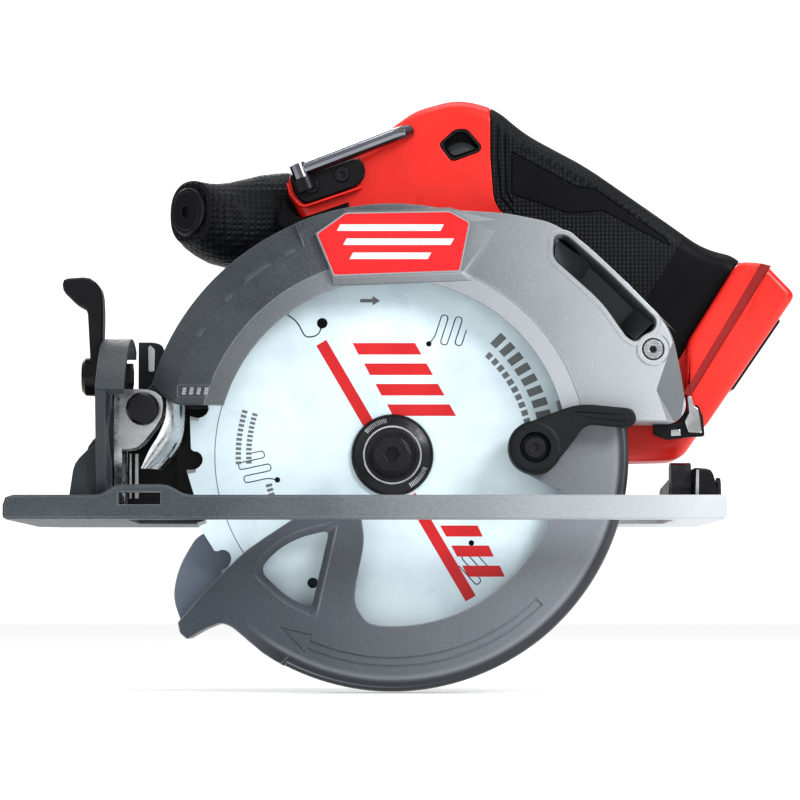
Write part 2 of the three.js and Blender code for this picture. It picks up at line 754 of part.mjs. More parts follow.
piece(
  "motor_housing",
  cut(
    turned(
      "Y",
      MOTOR_AXIS,
      [[0, 35 + GAP], [33, 35 + GAP], [HOUSING_R, 38.5], [HOUSING_R, 86], [0, 86]],
      32,
    ),
    rod("Y", MOTOR_AXIS, 33.8, 43, 100, 28),
    rod("Y", MOTOR_AXIS, 8.2, 36, 50, 20),
    rod("Y", MOTOR_AXIS, 5, 30, 50, 20),
    rod("Y", AXLE, 9.6, 30, 39, 20),
    ...vents(44, 50.5, 30),
  ),
  M.black(),
);
piece(
  "motor_end_cap",
  cut(
    turned(
      "Y",
      MOTOR_AXIS,
      [[0, 86 + GAP], [HOUSING_R, 86 + GAP], [HOUSING_R, 93], [30, 101], [22, 103.4], [0, 103.4]],
      32,
    ),
    turned("Y", MOTOR_AXIS, [[10, 80], [33.8, 80], [33.8, 92], [28, 98.6], [10, 98.6], [10, 80]], 28),
    rod("Y", MOTOR_AXIS, 8.2, 80, 93.8, 20),
    rod("Y", MOTOR_AXIS, 4.6, 80, 98.6, 20),
    ...vents(96, 110, 14),
  ),
  M.black(),
);

// ---------------------------------------------------------------- handle shells
const BODY = [
  [-42, 141.8, 2],
  [-43.5, 133, 4],
  [-38, 125, 6],
  [-28, 96, 8],
  [28, 96, 6],
  [37.5, 78, 6],
  [37.5, 27, 4],
  [96, 25, 4],
  [117, 25.6, 5],
  [124.5, 36.5, 2],
  [137, 60, 6],
  [148, 96, 8],
  [141, 108.6, 6],
  [127, 111.8, 8],
  [109, 124.6, 8],
  [79, 145.6, 8],
  [54, 159, 8],
  [42, 169.4, 6],
  [27, 173.6, 8],
  [9, 166.9, 6],
  [-12.6, 149.4, 3],
];
const FINGER_GAP = [
  [47, 116, 7],
  [62, 105.5, 8],
  [86, 88.5, 8],
  [100, 67, 8],
  [93, 57, 7],
  [66, 57, 8],
  [53, 72, 8],
  [46, 97, 8],
];
const foot = outline([
  [139.4, 105, 3],
  [150, 104.6, 4],
  [162.4, 91.6, 3],
  [125.8, 38.4, 2],
  [118.6, 34.6, 2],
  [118.6, 72, 4],
]);
const grip = outline([
  [40, 190],
  [40, 149, 3],
  [41.4, 131, 3],
  [46.4, 124, 3],
  [47, 100],
  [95, 62],
  [113, 62],
  [153.6, 126.7],
  [153.6, 190],
]);
function handleBody(inset, round, steps) {
  const drawing = outline(shrunk(BODY, inset));
  drawing.holes.push(outline(shrunk(FINGER_GAP, -inset)));
  return slab("Y", drawing, HANDLE_Y[0] + inset, HANDLE_Y[1] - inset, { round, steps, curve: 2 });
}
const envelope = handleBody(0, 5, 1);
const core = (inset) => handleBody(inset, 4, 1);
const gripZone = (grow) => slab("Y", grip, HANDLE_Y[0] - grow - 5, HANDLE_Y[1] + grow + 5, { curve: 2 });
const LOCK_OFF = [[18.6, 154, 2], [25.4, 160.2, 2], [30.2, 160.4, 2], [36.2, 153.4, 2], [35.4, 151, 2], [24, 146.8, 2]];
const TRIGGER_AXIS = V3(0.565, 0, 0.825);
const triggerOutline = (rise) => {
  const dx = TRIGGER_AXIS.x * rise;
  const dz = TRIGGER_AXIS.z * rise;
  return [[50 + dx, 104 + dz], [50, 104, 2], [58, 97.5, 5], [68, 93, 4], [73, 94, 2], [73 + dx, 94 + dz]];
};
const triggerWell = slab("Y", outline(shrunk(triggerOutline(21), -0.5)), 31.4, 44.6);
const footBlock = cut(
  slab("Y", foot, ...FOOT_Y, { round: 2.5, curve: 2 }),
  slab("Y", outline([[148.2, 107], [152.6, 107], [120.6, 50], [116.4, 50]]), FOOT_Y[0] - 1, FOOT_Y[0] + 4.5),
  slab("Y", outline([[148.2, 107], [152.6, 107], [120.6, 50], [116.4, 50]]), FOOT_Y[1] - 4.5, FOOT_Y[1] + 1),
);
const RECEIVER = outline([
  [160, 84],
  [137, 50.6],
  [131, 55],
  [154, 88],
]);
const sleeveCut = cut(gripZone(1), core(2.3));
const cavityCore = join(
  common(core(4.6), slab("Y", outline([[-30, 98], [140, 98], [140, 180], [-30, 180]]), 0, 80)),
  common(core(4.6), slab("Y", outline([[100, 20], [170, 20], [170, 110], [100, 110]]), 0, 80)),
);
const CLAMP_AT = [CLAMP.x, CLAMP.z];
const HOOK_SCREWS = [[-33, 136.4], [-20.6, 141.2]];
const shell = cut(
  join(envelope, footBlock, rod("Y", CLAMP_AT, 8, 50, 68, 20)),
  sleeveCut,
  cavityCore,
  slab("Y", RECEIVER, 20, 52),
  triggerWell,
  rod("Y", MOTOR_AXIS, HOUSING_R + GAP, 33.5, 110, 28),
  slab("Y", outline([[-31, 20], [-31, 92.4], [30.4, 92.4], [37, 50], [37, 20]]), -5, CASE_Y[1] + GAP),
  slab("Y", outline([...skirt, [113, 20], [-100, 20]]), -40, GUARD_Y + GAP),
  slab("Y", outline(LOCK_OFF), 10, 24),
  rod("Y", CLAMP_AT, 3.8, 40, 90, 20),
  rod("Y", CLAMP_AT, 6.6, 40, 56, 6),
  ...HOOK_SCREWS.map((at) => rod("Y", at, 1.9, 10, 24, 10)),
);
const half = (y0, y1) => slab("Y", box2(-80, -10, 200, 200), y0, y1);
piece("handle_shell_left", common(shell, half(0, PARTING - 0.15)), M.red());
piece("handle_shell_right", common(shell, half(PARTING + 0.15, 90)), M.red());
piece("grip_overmold", cut(common(envelope, gripZone(0.4)), core(2), triggerWell, footBlock), M.rubber());

piece(
  "trigger",
  slab("Y", outline(triggerOutline(13)), 32, 44, { round: 0.8 }),
  M.black(),
);
piece("lock_off_button", slab("Y", outline(shrunk(LOCK_OFF, 0.5)), 16.6, 22.6, { round: 0.8 }), M.darkMagnesium());
piece("switch_body", slab("Y", outline([[60, 126], [66, 138], [88, 124], [80, 112]], 2), 30, 46), M.black());
piece(
  "control_board",
  slab("Y", outline([[110, 42], [119, 46], [131, 70], [126, 74], [110, 52]], 2), 27, 49),
  M.board(),
);
piece(
  "battery_terminal_block",
  slab("Y", outline([[158.2, 82.6], [138.4, 53.8], [133.2, 56.8], [153.4, 85.8]], 1), 24, 48),
  M.black(),
);
piece(
  "depth_clamp_bolt",
  join(rod("Y", CLAMP_AT, 3.5, 52, 84, 20), rod("Y", CLAMP_AT, 6, 50.4, 54.4, 6)),
  M.blackSteel(),
);
const depthLever = outline([
  [88, 31, 5],
  [96, 31, 5],
  [124, 55, 5],
  [121, 61, 4],
  [112, 57, 5],
  [92, 46, 5],
  [84, 42, 5],
]);
piece(
  "depth_lever",
  cut(
    join(slab("Y", depthLever, 74, 80, { round: 1 }), rod("Y", CLAMP_AT, 8.4, 71.9, 82, 20)),
    rod("Y", CLAMP_AT, 3.65, 60, 90, 20),
  ),
  M.black(),
);
piece(
  "led_window",
  turned("Y", [-60, 47], [[0, 16.4], [4, 16.4], [4, 21], [3, 22.4], [0, 22.4]], 16),
  M.lens(),
);

// ---------------------------------------------------------------- front grip
const gripRing = (x, y, z, angle, a, b) => [
  [x, y, z],
  [Math.sin(deg(angle)), Math.cos(deg(angle)), 0],
  [0, 0, 1],
  a,
  b,
];
piece(
  "front_grip",
  loft(
    [
      gripRing(-41.4 - 2.6, 38, 127, 0, 17, 17.5),
      gripRing(-52, 38, 125.5, 0, 17.6, 18.4),
      gripRing(-62, 36, 123.5, -12, 17.2, 18),
      gripRing(-71, 32, 122.5, -25, 15.6, 17),
      gripRing(-77, 27, 124, -38, 13.4, 14.6),
      gripRing(-81, 22.5, 126, -45, 12, 12.4),
      gripRing(-82.6, 21, 126.6, -45, 11.4, 11.6),
    ],
    24,
    2.3,
  ),
  M.rubber(),
);
const capAxis = V3(-Math.SQRT1_2, -Math.SQRT1_2, 0);
const capPlane = new THREE.Matrix4().makeBasis(V3(Math.SQRT1_2, -Math.SQRT1_2, 0), capAxis, V3(0, 0, 1));
function capDisc(profile) {
  const g = new THREE.LatheGeometry(profile.map(([r, h]) => new THREE.Vector2(r, h)), 20);
  g.applyMatrix4(capPlane);
  g.translate(-82.6, 21, 126.6);
  return solid(g);
}
piece("front_grip_cap", cut(capDisc([[0, 0.3], [9.4, 0.3], [9.4, 1.6], [8.2, 2.8], [0, 2.8]]), capDisc([[0, 1], [3, 1], [3, 5], [0, 5]])), M.black());

// ---------------------------------------------------------------- rafter hook
const HOOK = { x: -37.6, y: 10.4, z: 142 };
const along = V3(0.934, 0, 0.358);
const upNormal = V3(-0.358, 0, 0.934);
const hookAt = (s, dy = 0, n = 0) => [
  HOOK.x + along.x * s + upNormal.x * n,
  HOOK.y + dy,
  HOOK.z + along.z * s + upNormal.z * n,
];
const plate = outline([
  [-42, 141.4, 2],
  [-40.6, 134.4, 3],
  [-36, 128.8, 3],
  [-13, 137, 3],
  [-10.4, 143, 3],
  [-13.4, 148.6, 3],
  [-34, 141.6, 2],
]);
const hookBasis = new THREE.Matrix4().makeBasis(along, upNormal, V3(0, -1, 0));
function hookBoss(r, from, to, segments) {
  const g = new THREE.CylinderGeometry(r, r, to - from, segments);
  g.translate(0, (from + to) / 2, 0);
  g.applyMatrix4(hookBasis);
  g.translate(HOOK.x, HOOK.y, HOOK.z);
  return solid(g);
}
piece(
  "hook_bracket",
  cut(
    join(slab("Y", plate, 13.8, 17.6, { round: 0.6 }), hookBoss(4.4, -8.4, -3.4, 20)),
    ...HOOK_SCREWS.map((at) => rod("Y", at, 3.4, 10, 15.6, 20)),
    ...HOOK_SCREWS.map((at) => rod("Y", at, 1.8, 10, 30, 12)),
    hookBoss(2.2, -12, 5, 20),
  ),
  M.black(),
);
HOOK_SCREWS.forEach((at, i) =>
  piece(
    `hook_screw_${i + 1}`,
    cut(join(rod("Y", at, 3.1, 13.2, 15.3, 20), rod("Y", at, 1.6, 15, 22, 12)), rod("Y", at, 1.4, 12, 14.4, 6)),
    M.blackSteel(),
  ),
);
piece(
  "rafter_hook",
  join(
    bar([hookAt(0), hookAt(20), hookAt(42), hookAt(45.6, 0.8), hookAt(47, 4), hookAt(47, 7)], 2.75, 6, 14),
    hookBoss(2, -8, 0, 20),
    hookBoss(3.2, -3, 3, 16),
  ),
  M.chrome(),
);

// ---------------------------------------------------------------- lower guard
const beak = [
  [-84.8, -40],
  [-84, -44.2, 1],
  [-81, -46.8, 1],
  [-74.3, -42.9, 2],
  [-67.6, -40.2, 3],
  [-63.4, -41.8, 3],
  [-51.5, -52],
];
const frontEdge = [[-38.8, 1.2, 2], [-49.2, -5.6, 4], [-58.3, -11.9, 4], [-69, -22.4, 4], [-76.6, -30.5, 4]];
const REAR_END = 378;
const nearWall = outline([
  ...beak,
  ...C(LOWER_R, 240, REAR_END, 20),
  ...C(68, REAR_END, 266, 14),
  [-10.1, -40.1, 3],
  [-15, -32.9, 4],
  [-14.1, -22.8, 4],
  [-11, -8, 4],
  [-12.5, 4, 3],
  [-34, 4, 3],
  ...frontEdge,
]);
const sightWindow = outline([
  [-25, -3.6, 3],
  [-32, -34.6, 3],
  [-42, -29.8, 5],
  [-53, -19.2, 5],
  [-45, -10.8, 6],
  [-36, -6.2, 4],
]);
nearWall.holes.push(sightWindow);
const leverLobe = outline([[76, 10], [64, 13, 4], [47, 22, 6], [45, 30, 6], [48.6, 37.6, 6], [60, 39.8, 6], [76, 40]]);
const farWall = outline([
  [-78.9, -6, 3],
  [-85.8, -17.6, 6],
  [-88.3, -30, 6],
  ...beak,
  ...C(LOWER_R, 240, REAR_END, 20),
  [24, 50, 4],
  [-18, 50, 6],
  [-27, 20, 6],
]);
const rimStrip = outline([
  ...beak,
  ...C(LOWER_R, 240, REAR_END, 20),
  ...C(LOWER_R - 2.5, REAR_END, 240, 20),
  [-63.6, -38.2],
  [-67.6, -37],
  [-74.3, -39],
  [-81.5, -40.8],
]);
const LEVER_HUB = [56.2, 28.7];
piece(
  "lower_guard",
  cut(
    join(
      slab("Y", nearWall, -LOWER_Y, -LOWER_Y + 2.2, { curve: 2 }),
      slab("Y", leverLobe, -LOWER_Y, -LOWER_Y + 2.2),
      slab("Y", farWall, LOWER_Y - 2.2, LOWER_Y, { curve: 2 }),
      slab("Y", rimStrip, -LOWER_Y + 0.4, LOWER_Y - 0.4, { curve: 2 }),
    ),
    rod("Y", AXLE, NOSE_R + 0.35, 0, 30, 28),
    rod("Y", LEVER_HUB, 2.3, -20, -5, 16),
  ),
  M.darkMagnesium(),
);
const leverArm = outline([
  [48, 36.4, 3],
  [57.5, 40.2, 4],
  [73.1, 46, 6],
  [94.8, 44, 4],
  [96.4, 39, 3],
  [93, 36.2, 3],
  [76, 38, 4],
  [69, 28, 5],
  [62, 20, 4],
  [52, 26, 4],
]);
piece(
  "guard_lever",
  cut(
    join(
      slab("Y", leverArm, -24, -20.2, { round: 0.9, curve: 2 }),
      turned("Y", LEVER_HUB, [[0, -24], [9.4, -24], [10.4, -23], [10.4, -12 - GAP], [0, -12 - GAP]], 20),
    ),
    rod("Y", LEVER_HUB, 5.4, -30, -20.6, 20),
    rod("Y", LEVER_HUB, 2.3, -30, 0, 16),
  ),
  M.black(),
);
piece(
  "guard_lever_screw",
  cut(
    join(rod("Y", LEVER_HUB, 4.2, -22.6, -20.8, 20), rod("Y", LEVER_HUB, 2, -21, -7, 16)),
    rod("Y", LEVER_HUB, 1.7, -24, -21.4, 6),
  ),
  M.blackSteel(),
);
const coil = Array.from({ length: 27 }, (_, i) => {
  const t = i / 26;
  const a = deg(40 + 560 * t);
  const r = 22 + 4 * t;
  return [r * Math.cos(a), 12.75, ARBOR_Z + r * Math.sin(a)];
});
piece("guard_return_spring", bar(coil, 0.4, 2, 28), M.steel());

export default group;
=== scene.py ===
"""Circular saw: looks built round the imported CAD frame.

Shapes are drawn in millimetres in blade coordinates (X 0 at the arbor, Y 0 in the blade's plane, Z 0 at the sole)
and placed in the frame's metres by place().
"""
import math

import bmesh
import bpy
import numpy as np
from mathutils import Matrix, Vector


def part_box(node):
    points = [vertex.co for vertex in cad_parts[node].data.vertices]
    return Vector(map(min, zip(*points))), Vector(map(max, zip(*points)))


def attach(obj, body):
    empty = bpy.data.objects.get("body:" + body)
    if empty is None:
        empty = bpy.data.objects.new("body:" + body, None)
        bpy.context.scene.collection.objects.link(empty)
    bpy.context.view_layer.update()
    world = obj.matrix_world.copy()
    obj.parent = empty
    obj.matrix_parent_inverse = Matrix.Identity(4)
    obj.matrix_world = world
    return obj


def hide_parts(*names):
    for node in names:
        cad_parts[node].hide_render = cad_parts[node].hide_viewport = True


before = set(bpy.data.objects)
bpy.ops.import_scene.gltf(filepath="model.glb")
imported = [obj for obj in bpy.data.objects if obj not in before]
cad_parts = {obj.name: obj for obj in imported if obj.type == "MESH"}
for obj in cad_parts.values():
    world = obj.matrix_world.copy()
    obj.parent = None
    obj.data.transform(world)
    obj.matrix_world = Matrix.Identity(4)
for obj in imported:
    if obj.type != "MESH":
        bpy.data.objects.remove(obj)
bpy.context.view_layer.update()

MM = 0.001
blade_low, blade_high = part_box("blade")
BLADE_Y = (blade_low.y + blade_high.y) / 2
AXLE = (0.0, 26.5)


# ------------------------------------------------------------------ drawing
def place(x, y, z):
    return Vector((x * MM, y * MM + BLADE_Y, z * MM))


def inset(corners, distance):
    """Corners [x, y, radius] moved inwards by a distance."""
    points = [Vector(c[:2]) for c in corners]
    count = len(points)
    area = sum(points[i - 1].x * points[i].y - points[i].x * points[i - 1].y for i in range(count))
    side = 1 if area > 0 else -1
    moved = []
    for i, p in enumerate(points):
        into = (p - points[i - 1]).normalized()
        out = (points[(i + 1) % count] - p).normalized()
        normal = Vector((-(into.y + out.y), into.x + out.x))
        normal = normal.normalized() if normal.length > 1e-6 else Vector((-into.y, into.x))
        stretch = max(0.5, normal.dot(Vector((-into.y, into.x))))
        q = p + normal * (side * distance / stretch)
        moved.append((q.x, q.y, *corners[i][2:]))
    return moved


CORNER_STEPS = 7


def eased(before, corner, after, radius, steps):
    """Points of a curve that rounds one corner."""
    here = Vector(corner[:2])
    back, ahead = Vector(before[:2]) - here, Vector(after[:2]) - here
    trim = min(radius, back.length * 0.48, ahead.length * 0.48)
    start = here + back.normalized() * trim
    end = here + ahead.normalized() * trim
    fractions = [k / steps for k in range(steps + 1)]
    return [start * (1 - t) ** 2 + here * (2 * t * (1 - t)) + end * t ** 2 for t in fractions]


def outline(corners):
    """Points round the corners [x, y, radius], each corner eased by its own radius."""
    points = []
    for i, corner in enumerate(corners):
        r = corner[2] if len(corner) > 2 else 0
        if r > 0.05:
            points += eased(corners[i - 1], corner, corners[(i + 1) % len(corners)], r, CORNER_STEPS)
        else:
            points.append(Vector(corner[:2]))
    return points


def arc(cx, cy, r, start, end, steps):
    """Points on an arc, angles in degrees."""
    angles = [math.radians(start + (end - start) * i / steps) for i in range(steps + 1)]
    return [(cx + r * math.cos(a), cy + r * math.sin(a)) for a in angles]


def around(r, start, end, steps):
    return arc(AXLE[0], AXLE[1], r, start, end, steps)


def rounded(low, high, ease, steps=3):
    """Profile [(height, inset)] between two faces with both edges eased."""
    quarter = [math.radians(90 * k / steps) for k in range(steps + 1)]
    first = [(low + ease * (1 - math.sin(a)), ease * (1 - math.cos(a))) for a in reversed(quarter)]
    last = [(high - ease * (1 - math.sin(a)), ease * (1 - math.cos(a))) for a in quarter]
    return first + last


# ------------------------------------------------------------------ solids
SAME_POINT = 1e-7       # metres, while a solid is drawn
WELD = 2e-6             # metres, on a finished mesh


def as_object(bm, name="shape"):
    bmesh.ops.remove_doubles(bm, verts=bm.verts, dist=SAME_POINT)
    bmesh.ops.recalc_face_normals(bm, faces=bm.faces)
    mesh = bpy.data.meshes.new(name)
    bm.to_mesh(mesh)
    bm.free()
    ob = bpy.data.objects.new(name, mesh)
    bpy.context.scene.collection.objects.link(ob)
    return ob


def walls(bm, rings):
    """Quads between closed rings of vertices."""
    for a, b in zip(rings, rings[1:]):
        for i in range(len(a)):
            bm.faces.new((a[i - 1], a[i], b[i], b[i - 1]))


def skin(bm, rings):
    """Closed body over rings of vertices, with flat ends."""
    walls(bm, rings)
    bm.faces.new(rings[0])
    bm.faces.new(rings[-1][::-1])


def prism(corners, profile, holes=()):
    """A drawing given thickness along Y. profile is [(height, inset)] from low to high."""
    bm = bmesh.new()
    loops = [(corners, 1)] + [(hole, -1) for hole in holes]
    rings = []
    for height, ease in profile:
        ring = []
        for drawing, sign in loops:
            points = outline(inset(drawing, ease * sign) if ease else drawing)
            ring.append([bm.verts.new(place(p.x, height, p.y)) for p in points])
        rings.append(ring)
    for low, high in zip(rings, rings[1:]):
        for pair in zip(low, high):
            walls(bm, pair)
    for ring in (rings[0], rings[-1]):
        edges = [bm.edges.get((loop[i - 1], loop[i])) for loop in ring for i in range(len(loop))]
        bmesh.ops.triangle_fill(bm, use_beauty=True, use_dissolve=False, edges=edges)
    return as_object(bm)


def slab(corners, low, high, ease=0.0, holes=()):
    return prism(corners, rounded(low, high, ease) if ease else [(low, 0), (high, 0)], holes)


def turned(at, profile, segments=48, start=0.0, sweep=360.0):
    """Solid of revolution about a line along Y through at; profile is a closed loop of (radius, height)."""
    bm = bmesh.new()
    full = sweep >= 360
    rings = []
    for k in range(segments if full else segments + 1):
        a = math.radians(start + sweep * k / segments)
        rings.append([bm.verts.new(place(at[0] + r * math.cos(a), h, at[1] + r * math.sin(a))) for r, h in profile])
    if full:
        walls(bm, rings + rings[:1])
    else:
        skin(bm, rings)
    bmesh.ops.remove_doubles(bm, verts=bm.verts, dist=SAME_POINT)
    bmesh.ops.dissolve_degenerate(bm, dist=SAME_POINT, edges=bm.edges)
    return as_object(bm)


def rod(at, r, low, high, ease=0.0, segments=48):
    if ease:
        side = [(r - ease, low), (r - ease * 0.3, low + ease * 0.3), (r, low + ease), (r, high - ease),
                (r - ease * 0.3, high - ease * 0.3), (r - ease, high)]
    else:
        side = [(r, low), (r, high)]
    return turned(at, [(0, low)] + side + [(0, high)], segments)


def hull(points):
    """Convex body through points in blade coordinates."""
    bm = bmesh.new()
    for p in points:
        bm.verts.new(place(*p))
    bmesh.ops.convex_hull(bm, input=bm.verts)
    loose = [v for v in bm.verts if not v.link_faces]
    bmesh.ops.delete(bm, geom=loose, context="VERTS")
    return as_object(bm)


def wedge(points, y):
    """Convex body between points and the same points moved to y."""
    return hull(points + [(p[0], y, p[2]) for p in points])


def evaluated(ob):
    """Bakes the modifiers into the mesh."""
    bpy.context.view_layer.update()
    graph = bpy.context.evaluated_depsgraph_get()
    mesh = bpy.data.meshes.new_from_object(ob.evaluated_get(graph))
    old = ob.data
    ob.modifiers.clear()
    ob.data = mesh
    bpy.data.meshes.remove(old)


def combine(target, others, operation):
    for other in others:
        m = target.modifiers.new("b", "BOOLEAN")
        m.operation = operation
        m.solver = "EXACT"
        m.object = other
        evaluated(target)
        bpy.data.objects.remove(other)
    return target


def cut(target, *others):
    return combine(target, others, "DIFFERENCE")


def join(target, *others):
    return combine(target, others, "UNION")


def common(target, *others):
    return combine(target, others, "INTERSECT")


def duplicate(ob):
    twin = ob.copy()
    twin.data = ob.data.copy()
    bpy.context.scene.collection.objects.link(twin)
    return twin


def joined(shapes):
    return join(shapes[0], *shapes[1:])


def find(parent, i):
    """The root of a group; parent is a list of links."""
    while parent[i] != i:
        parent[i] = parent[parent[i]]
        i = parent[i]
    return i


COPLANAR = 0.7          # degrees between faces of one flat area
HARD_EDGE = 34.0        # degrees above which an edge stays sharp
WIDE_HARD_EDGE = 9.0    # the same between two wide areas
WIDE = 3.2 * MM         # mean width of a wide area


def read(items, key, width=1, kind=float):
    values = np.empty(len(items) * width, kind)
    items.foreach_get(key, values)
    return values.reshape(-1, width) if width > 1 else values


def shade(mesh):
    """Corner normals: wide flat areas keep their own, curved ones are averaged, hard edges are split."""
    faces, corners = mesh.polygons, mesh.loops
    count, loops = len(faces), len(corners)
    normals, areas = read(faces, "normal", 3), read(faces, "area")
    vertex_of, edge_of = read(corners, "vertex_index", kind=int), read(corners, "edge_index", kind=int)
    starts, totals = read(faces, "loop_start", kind=int), read(faces, "loop_total", kind=int)
    face_of = np.repeat(np.arange(count), totals)
    after = np.arange(loops) + 1
    after[starts + totals - 1] = starts

    # the two corners at each edge between two faces
    order = np.argsort(edge_of, kind="stable")
    uses = np.bincount(edge_of, minlength=len(mesh.edges))
    first = (np.cumsum(uses) - uses)[uses == 2]
    pairs = np.stack((order[first], order[first + 1]), 1)
    fa, fb = face_of[pairs[:, 0]], face_of[pairs[:, 1]]
    turn = np.degrees(np.arccos(np.clip((normals[fa] * normals[fb]).sum(1), -1, 1)))

    # flat areas and their mean width
    region = list(range(count))
    for f, g in zip(fa[turn < COPLANAR].tolist(), fb[turn < COPLANAR].tolist()):
        region[find(region, f)] = find(region, g)
    region = np.array([find(region, f) for f in range(count)])
    points = read(mesh.vertices, "co", 3)[vertex_of]
    low, high = np.full((count, 3), 9.0), np.full((count, 3), -9.0)
    np.minimum.at(low, region[face_of], points)
    np.maximum.at(high, region[face_of], points)
    width = np.bincount(region, areas, count) / np.maximum(np.linalg.norm(high - low, axis=1), 1e-6)
    both_wide = np.minimum(width[region[fa]], width[region[fb]]) > WIDE
    smooth = (turn < HARD_EDGE) & ~(both_wide & (turn > WIDE_HARD_EDGE))

    # corners that share a normal
    fan = list(range(loops))
    for a, b in pairs[smooth].tolist():
        here, there = (after[b], b) if vertex_of[a] == vertex_of[after[b]] else (b, after[b])
        fan[find(fan, a)] = find(fan, here)
        fan[find(fan, after[a])] = find(fan, there)
    fan = np.array([find(fan, c) for c in range(loops)])
    flat = np.zeros((count, 3))
    np.add.at(flat, region, normals * areas[:, None])
    shared = np.unique(np.stack((fan, region[face_of]), 1), axis=0)
    sums = np.zeros((loops, 3))
    np.add.at(sums, shared[:, 0], flat[shared[:, 1]])
    out = sums[fan]
    length = np.linalg.norm(out, axis=1, keepdims=True)
    out = np.where(length > 0, out / np.maximum(length, 1e-30), normals[face_of])

    mesh.shade_smooth()
    sharp = np.zeros(len(mesh.edges), bool)
    sharp[edge_of[pairs[:, 0]]] = ~smooth
    mark = mesh.attributes.get("sharp_edge") or mesh.attributes.new("sharp_edge", "BOOLEAN", "EDGE")
    mark.data.foreach_set("value", sharp)
    mesh.normals_split_custom_set(out.tolist())


def bevelled(ob, ease, angle, segments=2):
    bevel = ob.modifiers.new("ease", "BEVEL")
    bevel.width = ease * MM
    bevel.segments = segments
    bevel.limit_method = "ANGLE"
    bevel.angle_limit = math.radians(angle)
    return bevel


def polish(ob, ease=0.3, angle=16.0, segments=2):
    """Eases the edges of a finished piece and shades it."""
    bm = bmesh.new()
    bm.from_mesh(ob.data)
    bmesh.ops.remove_doubles(bm, verts=bm.verts, dist=WELD)
    bmesh.ops.dissolve_degenerate(bm, dist=WELD, edges=bm.edges)
    if ease:
        bmesh.ops.dissolve_limit(bm, angle_limit=math.radians(0.6), verts=bm.verts, edges=bm.edges)
    bm.to_mesh(ob.data)
    bm.free()
    if ease:
        bevelled(ob, ease, angle, segments).use_clamp_overlap = False
        evaluated(ob)
    shade(ob.data)


def piece(ob, name, body, material, replaces=(), ease=0.3, angle=16.0, segments=2):
    """Finishes a visual piece: name, eased edges, material, body and the CAD nodes it replaces."""
    ob.name = name
    ob.data.name = name
    polish(ob, ease, angle, segments)
    ob.data.materials.clear()
    ob.data.materials.append(material)
    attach(ob, body)
    if replaces:
        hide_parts(*replaces)


def plates(*rows):
    """Flat pieces: name, body, slot, material, drawing, two heights, how far the edges are eased, replaced nodes."""
    for name, body, slot, material, drawing, low, high, ease, *replaces in rows:
        piece(slab(drawing, low, high, ease), name, body, material, replaces, ease=0)


# ------------------------------------------------------------------ materials
POCKET_CENTRE = (0.084, 0.0915)     # of the pocket in the upper guard, x and z in metres
POCKET_TURN = (0.73, 0.68)          # cosine and sine of its slope


def tone_of(colour, gain, lift=0.0):
    return tuple(min(1, c * gain + lift) for c in colour)


